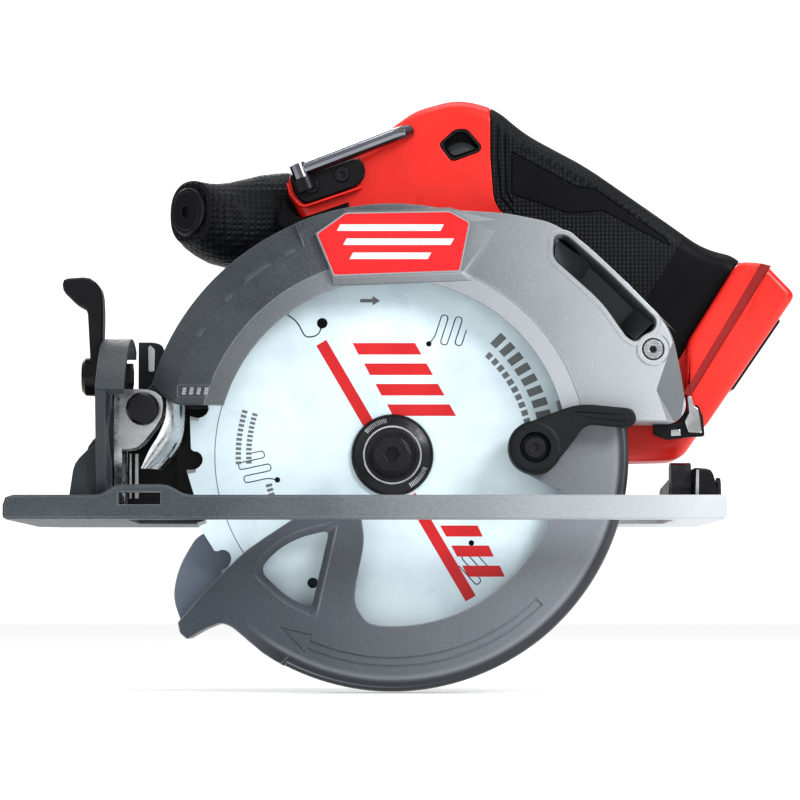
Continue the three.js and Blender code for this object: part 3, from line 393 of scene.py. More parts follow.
class Paint:
    """Small helper that wires one node material."""

    def __init__(self, name):
        self.material = bpy.data.materials.new(name)
        self.material.use_nodes = True
        self.tree = self.material.node_tree
        self.nodes = self.tree.nodes
        self.shader = self.nodes["Principled BSDF"]
        self.coords = self.add("ShaderNodeTexCoord").outputs["Object"]

    def add(self, kind, **values):
        node = self.nodes.new(kind)
        for key, value in values.items():
            setattr(node, key, value)
        return node

    def link(self, source, target):
        self.tree.links.new(source, target)

    def put(self, target, value):
        if isinstance(value, bpy.types.NodeSocket):
            self.link(value, target)
        elif value is not None:
            target.default_value = value

    def noise(self, scale, detail=3.0, rough=0.55, vector=None):
        node = self.add("ShaderNodeTexNoise")
        self.link(vector or self.coords, node.inputs["Vector"])
        node.inputs["Scale"].default_value = scale
        node.inputs["Detail"].default_value = detail
        node.inputs["Roughness"].default_value = rough
        return node.outputs["Fac"]

    def cells(self, scale, randomness=1.0):
        node = self.add("ShaderNodeTexVoronoi")
        self.link(self.coords, node.inputs["Vector"])
        node.inputs["Scale"].default_value = scale
        node.inputs["Randomness"].default_value = randomness
        return node.outputs["Distance"]

    def math(self, operation, a, b=None, clamp=False):
        node = self.add("ShaderNodeMath", operation=operation, use_clamp=clamp)
        self.put(node.inputs[0], a)
        if b is not None:
            self.put(node.inputs[1], b)
        return node.outputs[0]

    def span(self, value, low, high, new_low=0.0, new_high=1.0):
        node = self.add("ShaderNodeMapRange", clamp=True)
        self.put(node.inputs["Value"], value)
        node.inputs["From Min"].default_value = low
        node.inputs["From Max"].default_value = high
        node.inputs["To Min"].default_value = new_low
        node.inputs["To Max"].default_value = new_high
        return node.outputs["Result"]

    def mix(self, fac, a, b):
        node = self.add("ShaderNodeMix", data_type="RGBA")
        self.put(node.inputs["Factor"], fac)
        self.put(node.inputs["A"], (*a, 1) if isinstance(a, tuple) and len(a) == 3 else a)
        self.put(node.inputs["B"], (*b, 1) if isinstance(b, tuple) and len(b) == 3 else b)
        return node.outputs["Result"]

    def times(self, a, b):
        return self.math("MULTIPLY", a, b)

    def split(self, vector=None):
        """X, Y and Z of a vector, of the object's coordinates if none is given."""
        node = self.add("ShaderNodeSeparateXYZ")
        self.link(vector or self.coords, node.inputs[0])
        return node.outputs

    def facing(self):
        """X, Y and Z of the surface's direction."""
        return self.split(self.add("ShaderNodeNewGeometry").outputs["Normal"])

    def edges(self):
        """1 close to an edge."""
        soft = self.add("ShaderNodeBevel", samples=4)
        soft.inputs["Radius"].default_value = 0.45 * MM
        turn = self.add("ShaderNodeVectorMath", operation="DOT_PRODUCT")
        self.link(soft.outputs["Normal"], turn.inputs[0])
        self.link(self.add("ShaderNodeNewGeometry").outputs["True Normal"], turn.inputs[1])
        return self.span(turn.outputs["Value"], 0.97, 0.8)

    def bump(self, height, distance, after=None):
        node = self.add("ShaderNodeBump")
        node.inputs["Strength"].default_value = 1.0
        node.inputs["Distance"].default_value = distance
        self.link(height, node.inputs["Height"])
        if after is not None:
            self.link(after, node.inputs["Normal"])
        return node.outputs["Normal"]

    def painted_pocket_shade(self, x, y, z):
        """Mask of painted shade: 1 inside the guard's pocket and, weaker, on its rear facet where it faces +x and -y.
        """
        u = self.math("SUBTRACT", x, POCKET_CENTRE[0])
        v = self.math("SUBTRACT", z, POCKET_CENTRE[1])
        c, s = POCKET_TURN
        along = self.math("ABSOLUTE", self.math("SUBTRACT", self.times(u, c), self.times(v, s)))
        across = self.math("ABSOLUTE", self.math("ADD", self.times(u, s), self.times(v, c)))
        deep = self.span(y, BLADE_Y - 0.0158, BLADE_Y - 0.0143)
        pocket = self.times(deep, self.times(self.span(along, 0.027, 0.0265), self.span(across, 0.0072, 0.0068)))
        facing = self.facing()
        rear = self.times(self.span(x, 0.103, 0.1045), self.span(facing["X"], 0.3, 0.45, 0.0, 0.8))
        rear = self.times(rear, self.span(facing["Y"], -0.35, -0.5))
        return self.times(self.math("MAXIMUM", pocket, rear), 0.9)

    def done(self, colour, rough, metal=0.0, normal=None, coat=0.0, level=0.5):
        s = self.shader
        self.put(s.inputs["Base Color"], colour)
        self.put(s.inputs["Roughness"], rough)
        self.put(s.inputs["Metallic"], metal)
        if normal is not None:
            self.link(normal, s.inputs["Normal"])
        s.inputs["Coat Weight"].default_value = coat
        s.inputs["Coat Roughness"].default_value = 0.1
        s.inputs["Specular IOR Level"].default_value = level
        return self.material


def plastic(name, colour, rough=0.42, grain=900, depth=0.00003, edge_wear_and_highlight=0.25, level=0.5, coat=0.0):
    p = Paint(name)
    broad = p.noise(28, 4)
    fine = p.noise(grain, 3, 0.6)
    base = p.mix(p.span(broad, 0.3, 0.7), tone_of(colour, 0.82), tone_of(colour, 1.12, 0.003))
    # lighter edges: partly rubbed wear, partly painted edge highlight
    base = p.mix(p.times(p.edges(), edge_wear_and_highlight), base, tone_of(colour, 1.15, 0.03))
    r = p.span(p.noise(60, 5), 0.3, 0.7, rough - 0.06, rough + 0.08)
    return p.done(base, r, 0.0, p.bump(fine, depth), coat=coat, level=level)


def metal(name, colour, rough=0.3, scratch=(1, 1, 1), grain=500, edge_wear_and_highlight=0.3, amount=1.0, depth=0.00001, painted=None):
    """Brushed metal; painted black beyond an x if one is given."""
    p = Paint(name)
    mapping = p.add("ShaderNodeMapping")
    p.link(p.coords, mapping.inputs["Vector"])
    mapping.inputs["Scale"].default_value = scratch
    streak = p.noise(grain, 4, 0.7, mapping.outputs["Vector"])
    broad = p.noise(35, 4)
    base = p.mix(p.span(broad, 0.25, 0.7), tone_of(colour, 0.7), colour)
    # lighter edges: partly rubbed wear, partly painted edge highlight
    base = p.mix(p.times(p.edges(), edge_wear_and_highlight), base, tone_of(colour, 1.15, 0.1))
    r = p.span(streak, 0.3, 0.7, max(0.04, rough - 0.1), rough + 0.14)
    if painted:
        bare = p.span(p.split()[0], painted, painted + 0.0005, 1.0, 0.0)
        base = p.mix(bare, (0.012, 0.012, 0.014), base)
        amount = p.times(bare, amount)
    return p.done(base, r, amount, p.bump(streak, depth))


def powder(name, dark, light, spark=0.35, rough=0.42, grain=1500, band=None, across=None, metallic=0.45,
           shadow=False, rim=None):
    """Powder coat: fine orange peel with flakes that carry painted glints, stronger towards +x.

    across grades the tone between two x as painted light, dark at the first and light at the second; band is the radius
    inside which the coat is lighter, more so towards +x; rim is that of the lower guard's rolled edge, which gets a
    painted highlight just inside and painted shade over it, with painted light on the far wall; and shadow puts painted
    shade in the upper guard's pocket and on its rear facet.
    """
    p = Paint(name)
    fine = p.noise(grain, 2, 0.5)
    flake = p.cells(2300)
    x, y, z = p.split()
    tone = p.span(p.noise(22, 4), 0.3, 0.7, 0.0, 0.5)
    if across:
        # painted light: the coat darkens towards the first x and lightens towards the second, as the key light falls
        slope = p.math("POWER", p.span(x, across[0] * MM, across[1] * MM), 1.7)
        tone = p.math("ADD", p.times(tone, 0.16), p.times(slope, 0.92), clamp=True)
    base = p.mix(tone, dark, light)
    glint = p.span(flake, 0.0, 0.34, 1.0, 0.0)
    if band or rim:
        dx, dz = p.math("SUBTRACT", x, AXLE[0] * MM), p.math("SUBTRACT", z, AXLE[1] * MM)
        radius = p.math("SQRT", p.math("ADD", p.times(dx, dx), p.times(dz, dz)))
    if band:
        # inside the band radius the coat is lighter, more so towards +x
        inside = p.span(radius, band * MM, (band + 0.6) * MM, 1.0, 0.0)
        base = p.mix(p.times(inside, p.span(x, -0.075, 0.03, 0.1, 0.35)), base, tone_of(light, 1.25))
    # painted glints: the flakes are lightened in the base colour, more strongly towards +x where the light falls
    base = p.mix(p.times(glint, p.span(x, -0.08, 0.1, spark * 0.4, spark * 1.2)), base, tone_of(light, 2.0, 0.05))
    if rim:
        past_beak = p.span(x, -0.058, -0.044)
        # painted highlight: a light ring just inside the lower guard's rolled edge
        painted_rim_highlight = p.times(p.span(radius, (rim - 2.6) * MM, (rim - 1.4) * MM),
                       p.span(radius, (rim - 0.2) * MM, (rim - 0.8) * MM))
        base = p.mix(p.times(p.times(painted_rim_highlight, past_beak), 0.3), base, light)
        # painted shade: the rolled edge beyond the rim radius is darkened
        painted_rim_shade = p.times(p.span(radius, (rim - 0.6) * MM, (rim + 0.8) * MM, 0.0, 0.88), past_beak)
        base = p.mix(painted_rim_shade, base, tone_of(dark, 0.4))
        # painted light: the far wall's inner face, in shade behind the blade, is lightened
        far_wall = p.times(p.span(y, BLADE_Y + 0.006, BLADE_Y + 0.008), p.span(p.facing()["Y"], -0.4, -0.7, 0.0, 0.9))
        base = p.mix(far_wall, base, tone_of(dark, 4.0))
    if shadow:
        # painted shade in the upper guard's pocket and on its rear facet
        base = p.mix(p.painted_pocket_shade(x, y, z), base, (0.055, 0.066, 0.07))
    # painted edge highlight: edges are lightened in the base colour
    base = p.mix(p.times(p.edges(), 0.4), base, tone_of(light, 1.6, 0.08))
    r = p.span(fine, 0.3, 0.7, rough - 0.08, rough + 0.12)
    return p.done(base, r, metallic, p.bump(flake, 0.000035, p.bump(fine, 0.00005)))


# the guard, lower guard and shoe coats carry painted light graded across x
GREY = powder("guard_powder_coat", (0.026, 0.034, 0.044), (0.50, 0.53, 0.56), band=77, across=(-60, 112), metallic=0.2,
              shadow=True)
GREY_DARK = powder("lower_guard_powder_coat", (0.048, 0.058, 0.072), (0.34, 0.36, 0.39), spark=0.3, across=(-80, 130),
                   metallic=0.2, rim=89.6)
SHOE = powder("shoe_powder_coat", (0.034, 0.046, 0.056), (0.56, 0.59, 0.62), spark=0.45, rough=0.5, grain=900,
              across=(-90, 120), metallic=0.15)
BRACKET = powder("bracket_powder_coat", (0.022, 0.030, 0.038), (0.085, 0.095, 0.105), spark=0.2, rough=0.5, grain=900,
                 metallic=0.15)
CASE = powder("gear_case_powder_coat", (0.05, 0.058, 0.07), (0.12, 0.13, 0.145), spark=0.2, metallic=0.25)
# darker red that lines the foot's groove: painted shade
RED_GROOVE_SHADE = plastic("red_groove_painted_shade", (0.30, 0.006, 0.006), rough=0.4, edge_wear_and_highlight=0.0)
BLACK_TEXTURED = plastic("black_textured", (0.008, 0.009, 0.011), rough=0.5, grain=420, depth=0.00012, edge_wear_and_highlight=0.5,
                         level=0.3)
BRIGHT = metal("bright_ring", (0.85, 0.86, 0.88), rough=0.18, grain=120, edge_wear_and_highlight=0.0)
RED = plastic("red_housing", (0.86, 0.026, 0.016), rough=0.36, grain=1400, depth=0.000012, level=0.5)
BLACK = plastic("black_plastic", (0.006, 0.006, 0.008), rough=0.36, grain=1200, depth=0.00002, edge_wear_and_highlight=0.5, level=0.3)
CRADLE = metal("zinc_cradle", (0.72, 0.74, 0.76), rough=0.24, grain=180, painted=0.103)
BUTTON = plastic("button_plastic", (0.035, 0.037, 0.041), rough=0.38, grain=1100, edge_wear_and_highlight=0.6)
ZINC = metal("zinc_plate", (0.72, 0.74, 0.76), rough=0.24, grain=180)
STEEL = metal("ground_steel", (0.62, 0.64, 0.66), rough=0.26, scratch=(1, 1, 12), grain=260)
CHROME = metal("polished_chrome", (0.26, 0.27, 0.3), rough=0.1, scratch=(0.25, 1, 1), grain=420, depth=0.00004)
OXIDE = metal("black_oxide", (0.03, 0.03, 0.034), rough=0.34, grain=300, amount=0.6, edge_wear_and_highlight=0.6)
COPPER = metal("motor_core", (0.62, 0.3, 0.14), rough=0.35)
BOARD = plastic("circuit_board", (0.02, 0.16, 0.07), rough=0.35)
LENS = plastic("led_lens", (0.75, 0.8, 0.82), rough=0.12, level=0.6)
BADGE = plastic("badge_red", (0.80, 0.018, 0.022), rough=0.22, grain=300, depth=0.000004, coat=0.5)


def rubber(name, pitch=1.7, depth=0.00025):
    """Soft black rubber with a moulded honeycomb."""
    p = Paint(name)
    cell = p.cells(1000 / pitch, 0.12)
    dome = p.span(cell, 0.15, 0.55, 1.0, 0.0)
    broad = p.noise(30, 4)
    base = p.mix(p.span(broad, 0.3, 0.7), (0.004, 0.004, 0.006), (0.009, 0.010, 0.012))
    base = p.mix(p.times(dome, 0.35), base, (0.016, 0.017, 0.02))
    r = p.span(p.noise(90, 4), 0.3, 0.7, 0.42, 0.58)
    fine = p.bump(p.noise(1600, 2), 0.00002)
    return p.done(base, r, 0.0, p.bump(dome, depth, fine), level=0.2)


RUBBER = rubber("rubber_honeycomb")
RUBBER_SCALES = rubber("rubber_scales", 2.3, 0.0004)
SMOOTH_RUBBER = plastic("rubber_smooth", (0.005, 0.005, 0.0065), rough=0.42, grain=1500, depth=0.00003, edge_wear_and_highlight=0.25,
                        level=0.15)
WHITE = plastic("badge_white", (0.82, 0.82, 0.82), rough=0.3, edge_wear_and_highlight=0.0)
GREY_LIGHT = powder("guard_bright_edge", (0.3, 0.31, 0.33), (0.5, 0.51, 0.53), spark=0.3)
CARBIDE = metal("carbide", (0.46, 0.46, 0.47), rough=0.38, grain=900)
INK_RED = plastic("ink_red", (0.62, 0.014, 0.018), rough=0.34, edge_wear_and_highlight=0.0)
INK_GREY = plastic("ink_grey", (0.16, 0.18, 0.19), rough=0.4, edge_wear_and_highlight=0.0)
BLADE_COAT = plastic("blade_coat", (0.72, 0.86, 0.95), rough=0.3, grain=700, depth=0.000004, edge_wear_and_highlight=0.0, coat=0.3)


# ------------------------------------------------------------------ camera, lights, floor
scene = bpy.context.scene
for leftover in [o for o in scene.objects if o.type in ("CAMERA", "LIGHT")]:
    bpy.data.objects.remove(leftover)

TILT = math.radians(3.4)
TARGET = Vector((0.003, BLADE_Y, 0.0487))
DISTANCE = 1.4
camera_data = bpy.data.cameras.new("camera")
camera_data.lens = 157.5
camera_data.sensor_width = 36
camera = bpy.data.objects.new("camera", camera_data)
scene.collection.objects.link(camera)
look = Vector((0, math.cos(TILT), math.sin(TILT)))
camera.location = TARGET - look * DISTANCE
camera.rotation_euler = look.to_track_quat("-Z", "Y").to_euler()
scene.camera = camera

world = bpy.data.worlds.new("studio")
scene.world = world
world.use_nodes = True
tree = world.node_tree
sky = tree.nodes["Background"]
direction = tree.nodes.new("ShaderNodeTexCoord")
axes = tree.nodes.new("ShaderNodeSeparateXYZ")
tree.links.new(direction.outputs["Generated"], axes.inputs[0])


def ramp(value, low, high, new_low, new_high):
    node = tree.nodes.new("ShaderNodeMapRange")
    node.interpolation_type = "SMOOTHSTEP"
    tree.links.new(value, node.inputs["Value"])
    for key, number in zip(("From Min", "From Max", "To Min", "To Max"), (low, high, new_low, new_high)):
        node.inputs[key].default_value = number
    return node.outputs["Result"]


def total(a, b):
    node = tree.nodes.new("ShaderNodeMath")
    tree.links.new(a, node.inputs[0])
    tree.links.new(b, node.inputs[1])
    return node.outputs[0]


# the room is brightest overhead, dimmer behind the camera and beyond the saw, and dark to the sides
room = total(total(ramp(axes.outputs["Y"], -1.0, -0.5, 0.30, 0.0), ramp(axes.outputs["Y"], 0.45, 1.0, 0.0, 0.25)),
             ramp(axes.outputs["Z"], -0.1, 1.0, 0.10, 0.6))
seen = tree.nodes.new("ShaderNodeLightPath")
choose = tree.nodes.new("ShaderNodeMix")
tree.links.new(seen.outputs["Is Camera Ray"], choose.inputs["Factor"])
tree.links.new(room, choose.inputs["A"])
choose.inputs["B"].default_value = 1.0
sky.inputs["Color"].default_value = (1, 1, 1, 1)
tree.links.new(choose.outputs["Result"], sky.inputs["Strength"])


SOFTBOXES = [   # name, place, aim, size, watts
    ("key", (1.0, -1.3, 0.9), (0.02, 0, 0.06), (0.6, 0.6), 17),
    ("fill", (-1.2, -1.2, 0.7), (0, 0, 0.05), (0.5, 0.9), 3),
    ("top", (0.1, 0.3, 1.5), (0, 0, 0.08), (1.2, 0.7), 6),
    ("back", (-0.5, 1.5, 0.8), (0, 0, 0.06), (0.8, 0.6), 6),
]
for name, at, aim, size, watts in SOFTBOXES:
    data = bpy.data.lights.new(name, "AREA")
    data.shape = "RECTANGLE"
    data.size, data.size_y = size
    data.energy = watts
    light = bpy.data.objects.new(name, data)
    scene.collection.objects.link(light)
    light.location = at
    light.rotation_euler = (Vector(aim) - Vector(at)).to_track_quat("-Z", "Y").to_euler()

bm = bmesh.new()
bmesh.ops.create_grid(bm, x_segments=8, y_segments=8, size=6)
floor = as_object(bm, "floor")
floor.location.z = min(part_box("lower_guard")[0].z, 0) - 0.0006
pale = Paint("floor_pale")
pale.shader.inputs["Emission Color"].default_value = (1, 1, 1, 1)
pale.shader.inputs["Emission Strength"].default_value = 0.32
floor.data.materials.append(pale.done(pale.mix(pale.noise(3), (0.86, 0.86, 0.86), (0.9, 0.9, 0.9)), 0.6))

scene.view_settings.view_transform = "Standard"
scene.view_settings.look = "Medium High Contrast"


# ------------------------------------------------------------------ upper guard
GUARD_Y = 16.0
skirt = around(99.5, 163.5, 77, 44) + [
    (44.6, 122.3, 6), (63, 118.6, 5), (77.1, 109.7, 5), (98.3, 89.2, 4), (109.6, 77.2, 6), (113.9, 63, 8),
    (117.2, 44.6, 4), (113, 39.2, 3)]
guard_blank = skirt + [(60, 39.5), (60, 9), (-58, 9), (-70, 45.9, 6), (-87, 45.9, 4), (-94.4, 53.4, 1)]
cavity = around(95.2, 176, 8, 48) + [(97, 20), (97, -20), (-100, -20), (-100, 30)]
near_opening = around(69.5, 164, 11, 60) + [
    (90, 39.5, 0.5), (118, 39.0), (118, -20), (-100, -20), (-100, 45.9), (-73, 45.9, 3)]
pocket = [(63.3, 104, 3), (63.8, 113.4, 4), (69, 113.8, 3), (85, 99.6, 4), (104.8, 80, 4), (104.4, 76, 3),
          (96, 70.4, 4), (92.4, 72.6, 3), (83, 86.3, 6), (71, 97.2, 5)]
panel_foot = [(-31.8, 112.6), (-19, 123.6), (22.7, 124.4), (43, 119), (30.8, 95.2), (-23.7, 93)]
panel_top = [(-30.9, 113.8), (-18.9, 122.4), (22.9, 123.2), (31.4, 118.4), (27.4, 97.8), (-23.4, 96)]
lug = [(-104.8, 44.5, 4), (-103, 49, 3), (-99, 51.4, 3), (-91, 60, 2), (-88, 47, 2), (-93.4, 42.8, 4),
       (-99, 38.7, 4), (-103.2, 40.4, 3)]
SCREW = (103.2, 67.9)
HUB = (56.2, 28.7)

guard = slab(guard_blank, -GUARD_Y, GUARD_Y, 1.0)
guard = cut(
    guard,
    slab(cavity, -12.7, 13.5),
    slab(near_opening, -40, -12.2),
    turned(AXLE, [(88.6, -16.16), (102.2, -11.0), (108, -11.0), (108, -24), (88.6, -24)], 60, 113, 56),
    wedge([(-42.6, -16.05, 110.4), (-28.5, -16.05, 121.4), (-46, -11.6, 120), (-36, -15.2, 126),
           (-39.2, -16.05, 109.4)], -24),
    turned(AXLE, [(60, -24), (76.3, -24), (77.1, -15.4), (60, -15.4)], 160),
    wedge([(111.1, -16.05, 71.4), (104.4, -16.05, 52), (108.9, -16.05, 39), (119, -7, 66), (120, -7, 44),
           (114, -7, 36)], -24),
)
guard = join(
    guard,
    hull([(x, -14.6, z) for x, z in panel_foot] + [(x, -15.5, z) for x, z in panel_foot]
         + [(x, -18.4, z) for x, z in panel_top]),
    slab(lug, -6, 6, 0.8),
    slab(inset(pocket, -1.7), -16.5, -15, 0.35),
)
guard = cut(
    guard,
    prism(pocket, [(-30, 0), (-16, 0), (-14.5, 0.5), (4, 1.8)]),
    rod(AXLE, 20.2, 0, 40, segments=64),
    rod((-99, 44.5), 3.15, -20, 20),
    rod(SCREW, 4.9, -30, -14.6),
    rod(SCREW, 2.4, -30, -4),
    rod((-62, 76), 11.6, 10, 30),
    slab([(-85, 49, 0.6), (-72.4, 49, 0.6), (-72.4, 53.6, 0.6), (-85, 53.6, 0.6)], -24, -15.55),
)
guard = join(
    guard,
    wedge([(64.5, -11, 104.5), (65, -11, 112.5), (75, 2, 96), (80, 2, 103.5)], 5),
    wedge([(103.8, -9, 79), (96.6, -9, 72), (90.5, 2, 78), (97, 2, 85.5)], 5),
)
piece(guard, "upper_guard_casting", "saw_head", GREY, ("upper_guard",), ease=0.25, angle=28)

boss = turned(SCREW, [(4.5, -15.0), (4.5, -16.5), (5.0, -16.75), (6.1, -16.75), (6.6, -16.3), (6.6, -15.4),
                      (5.2, -15.0)], 64)
piece(boss, "guard_screw_boss", "saw_head", GREY, ease=0)
screw = turned(SCREW, [(0, -5.5), (2.2, -5.5), (2.2, -14.9), (4.2, -14.9), (4.2, -15.6), (3.7, -17.0),
                       (0, -17.0)], 64)
screw = cut(screw, rod(SCREW, 1.9, -20, -15.4, segments=6))
piece(screw, "guard_screw_head", "saw_head", STEEL, ("guard_screw",), ease=0.12)
socket = rod(SCREW, 1.6, -15.42, -15.3, segments=6)
piece(socket, "guard_screw_socket", "saw_head", OXIDE, ease=0)

ticks = joined([
    slab([(x, 49.9), (x + 1.5, 49.9), (x + 2.0, 52.8), (x + 0.5, 52.8)], -16.05, -15.5)
    for x in (-83.4 + k * 2.9 for k in range(4))])
piece(ticks, "guard_plate_marks", "saw_head", STEEL, ease=0.08)

badge_plate = [(-29.6, 113.4, 0.8), (-18.4, 121.4, 1), (22.5, 122.1, 1), (30.2, 117.9, 0.8), (26.4, 99, 0.8),
               (-22.9, 97.2, 0.8)]
plates(("badge_plate", "saw_head", "badge", BADGE, badge_plate, -19.1, -18.5, 0.15, "guard_badge"))
stripes = joined([
    slab([(left, low), (right, low), (right + 1.4, low + 2.6), (left + 1.4, low + 2.6)], -19.22, -19.05)
    for left, right, low in ((-22, 19, 114.6), (-19.5, 23, 109.0), (-17, 14, 103.4))])
piece(stripes, "badge_stripes", "saw_head", WHITE, ease=0)
rim = slab(inset(badge_plate, -0.55), -18.95, -18.35, 0.12, holes=[inset(badge_plate, 0.02)])
piece(rim, "badge_frame", "saw_head", GREY_LIGHT, ease=0)

# ------------------------------------------------------------------ lower guard
beak = [(-84.8, -40), (-84, -44.2, 1), (-81, -46.8, 1), (-74.3, -42.9, 2), (-67.6, -40.2, 3), (-63.4, -41.8, 3),
        (-51.5, -52)]
front_edge = [(-38.8, 1.2, 2), (-49.2, -5.6, 4), (-58.3, -11.9, 4), (-69, -22.4, 4), (-76.6, -30.5, 4)]
REAR_END = 378
FLANGE_R = 89.5
inner_edge = around(68, REAR_END, 266, 48) + [
    (-10.1, -40.1, 3), (-15, -32.9, 4), (-14.1, -22.8, 4), (-11, -8, 4), (-12.5, 4, 3), (-34, 4, 3)]
near_wall = beak + around(94, 240, 242, 1) + around(FLANGE_R, 243, REAR_END, 60) + inner_edge + front_edge
sight_window = [(-25, -3.6, 3), (-32, -34.6, 3), (-42, -29.8, 5), (-53, -19.2, 5), (-45, -10.8, 6), (-36, -6.2, 4)]
lever_lobe = [(76, 10), (64, 13, 4), (47, 22, 6), (45, 30, 6), (48.6, 37.6, 6), (60, 39.8, 6), (76, 40)]
far_wall = [(-78.9, -6, 3), (-85.8, -17.6, 6), (-88.3, -30, 6)] + beak + around(94, 240, 242, 1) \
    + around(FLANGE_R, 243, REAR_END, 60) + [(24, 50, 4), (-18, 50, 6), (-27, 20, 6)]
rim_strip = beak + around(94, 240, 243, 2) + around(91.5, 243, 240, 2) + [
    (-63.6, -38.2), (-67.6, -37), (-74.3, -39), (-81.5, -40.8)]
channel = [(88, -12), (90.2, -12), (91.9, -11.6), (93.2, -10.4), (93.75, -8.8), (93.9, -7), (93.9, 7), (93.75, 8.8),
           (93.2, 10.4), (91.9, 11.6), (90.2, 12), (88, 12), (88, 9.8), (90, 9.8), (91.6, 8.4), (91.6, -8.4),
           (90, -9.8), (88, -9.8)]
low = turned(AXLE, channel, 120, 241, REAR_END - 241)
low = join(
    low,
    slab(near_wall, -12, -9.8, 0.3),
    slab(lever_lobe, -12, -9.8),
    slab(far_wall, 9.8, 12, 0.3),
    slab(rim_strip, -11.6, 11.6),
    slab(inset(sight_window, -2.9), -12.45, -11, 0.4),
)
arrow = around(84.3, 315, 246.2, 48) + [(-34.9, -52.5), (-44.7, -41.6), (-31.5, -44.7)] + around(80.1, 246.2, 315, 48)
low = cut(
    low,
    prism(sight_window, [(-20, -2.0), (-12.45, -2.0), (-10.8, 0), (-5, 0)]),
    slab(arrow, -14, -11.6),
    slab(arrow, -14, -11.05, holes=[inset(arrow, 0.95)]),
    rod(AXLE, 20.05, 0, 30, segments=64),
    rod(HUB, 2.3, -20, -5),
)
piece(low, "lower_guard_shell", "lower_guard", GREY_DARK, ("lower_guard",), ease=0.25, angle=28)

# ------------------------------------------------------------------ blade
TEETH = 24
FIRST_TOOTH = 4     # degrees
TOOTH = ((82.5, 0), (81.9, 2.2), (80.6, 9.2), (79.6, 9.75), (77.8, 9.95), (76.5, 10.7), (75.8, 11.9), (76.1, 13.3),
         (77.3, 14.4), (79.0, 15.1))    # radius, degrees


def polar(r, degrees):
    a = math.radians(degrees)
    return (AXLE[0] + r * math.cos(a), AXLE[1] + r * math.sin(a))


def ribbon(points, width):
    """Outline of a narrow band along an open path of (x, y, radius)."""
    path = [Vector(points[0][:2])]
    for before, p, after in zip(points, points[1:], points[2:]):
        path += eased(before, p, after, p[2] if len(p) > 2 else 0.6, 5)
    path.append(Vector(points[-1][:2]))
    left, right = [], []
    for i, p in enumerate(path):
        d = (path[min(i + 1, len(path) - 1)] - path[max(i - 1, 0)]).normalized()
        n = Vector((-d.y, d.x)) * (width / 2)
        left.append(tuple(p + n))
        right.append(tuple(p - n))
    return left + right[::-1]


tooth_angles = [360 / TEETH * k + FIRST_TOOTH for k in range(TEETH)]
blade = slab([polar(r, a + step) for a in tooth_angles for r, step in TOOTH], -0.5, 0.5)
snake = [(0, 0), (1.4, 3.4, 1.5), (1.4, 13, 1.4), (4.2, 13, 1.4), (4.2, 1.5, 1.4), (7, 1.5, 1.4), (7, 14, 1.4),
         (9.8, 14, 1.4), (9.8, 3, 1.4), (12.6, 3, 1.4), (12.6, 10)]
cutters = []
for turn in (72, 192, 312):
    a = math.radians(turn)
    outwards = Vector((math.cos(a), math.sin(a)))
    side = Vector((math.sin(a), -math.cos(a)))
    base = Vector(AXLE) + outwards * 47
    path = [(*(base + side * p[0] + outwards * p[1]), *p[2:]) for p in snake]
    cutters.append(slab(ribbon(path, 0.4), -2, 2))
    cutters.append(rod(tuple(base), 1.1, -2, 2, segments=20))
for turn in (118, 238, 358):
    hole = polar(60, turn)
    cutters.append(rod(hole, 2.1, -2, 2, segments=28))
    hook = [(*hole, 0), (*polar(56.4, turn + 3.5), 2.5), (*polar(58.6, turn + 8.6), 2.5), (*polar(65.6, turn + 7.4), 3),
            (*polar(70.6, turn + 8.8), 0)]
    cutters.append(slab(ribbon(hook, 0.5), -2, 2))
cutters.append(rod(AXLE, 7.9, -2, 2, segments=40))
blade = cut(blade, *cutters)
piece(blade, "blade_plate", "spindle", BLADE_COAT, ("blade",), ease=0.08, segments=1)

tips = bmesh.new()
for k, a in enumerate(tooth_angles):
    corners = [polar(82.5, a - 0.05), polar(82.35, a + 1.05), polar(78.9, a + 1.0), polar(78.7, a + 0.2)]
    lean = 0.054 if k % 2 else -0.054
    skin(tips, [[tips.verts.new(place(x, side * wide + lean, z))
                 for (x, z), wide in zip(corners, (0.95, 0.9, 0.75, 0.78))] for side in (-1, 1)])
piece(as_object(tips), "blade_tips", "spindle", CARBIDE, ease=0.12, segments=1)


def prints(name, drawings, material):
    """Thin marks on the near face of the blade."""
    bm = bmesh.new()
    for drawing in drawings:
        ob = slab(drawing, -0.545, -0.497)
        bm.from_mesh(ob.data)
        bpy.data.objects.remove(ob)
    piece(as_object(bm), name, "spindle", material, ease=0)


red_bars = [ribbon([(-28.5, 71.6), (-3.5, 28.8)], 4.6), ribbon([(7.2, 10.4), (31.2, -30.6)], 4.6)]
for count, x, dx, z, dz, top, foot, tall in ((4, -16, 4.6, 71.5, -8.2, 25, 27.6, 4.6),
                                             (3, 19, 4.4, -1.5, -8.0, 15, 17, 4.4)):
    for k in range(count):
        u, v = x + dx * k, z + dz * k
        red_bars.append([(u, v), (u + top, v), (u + foot, v - tall), (u + 2.4, v - tall)])
prints("blade_red_print", red_bars, INK_RED)

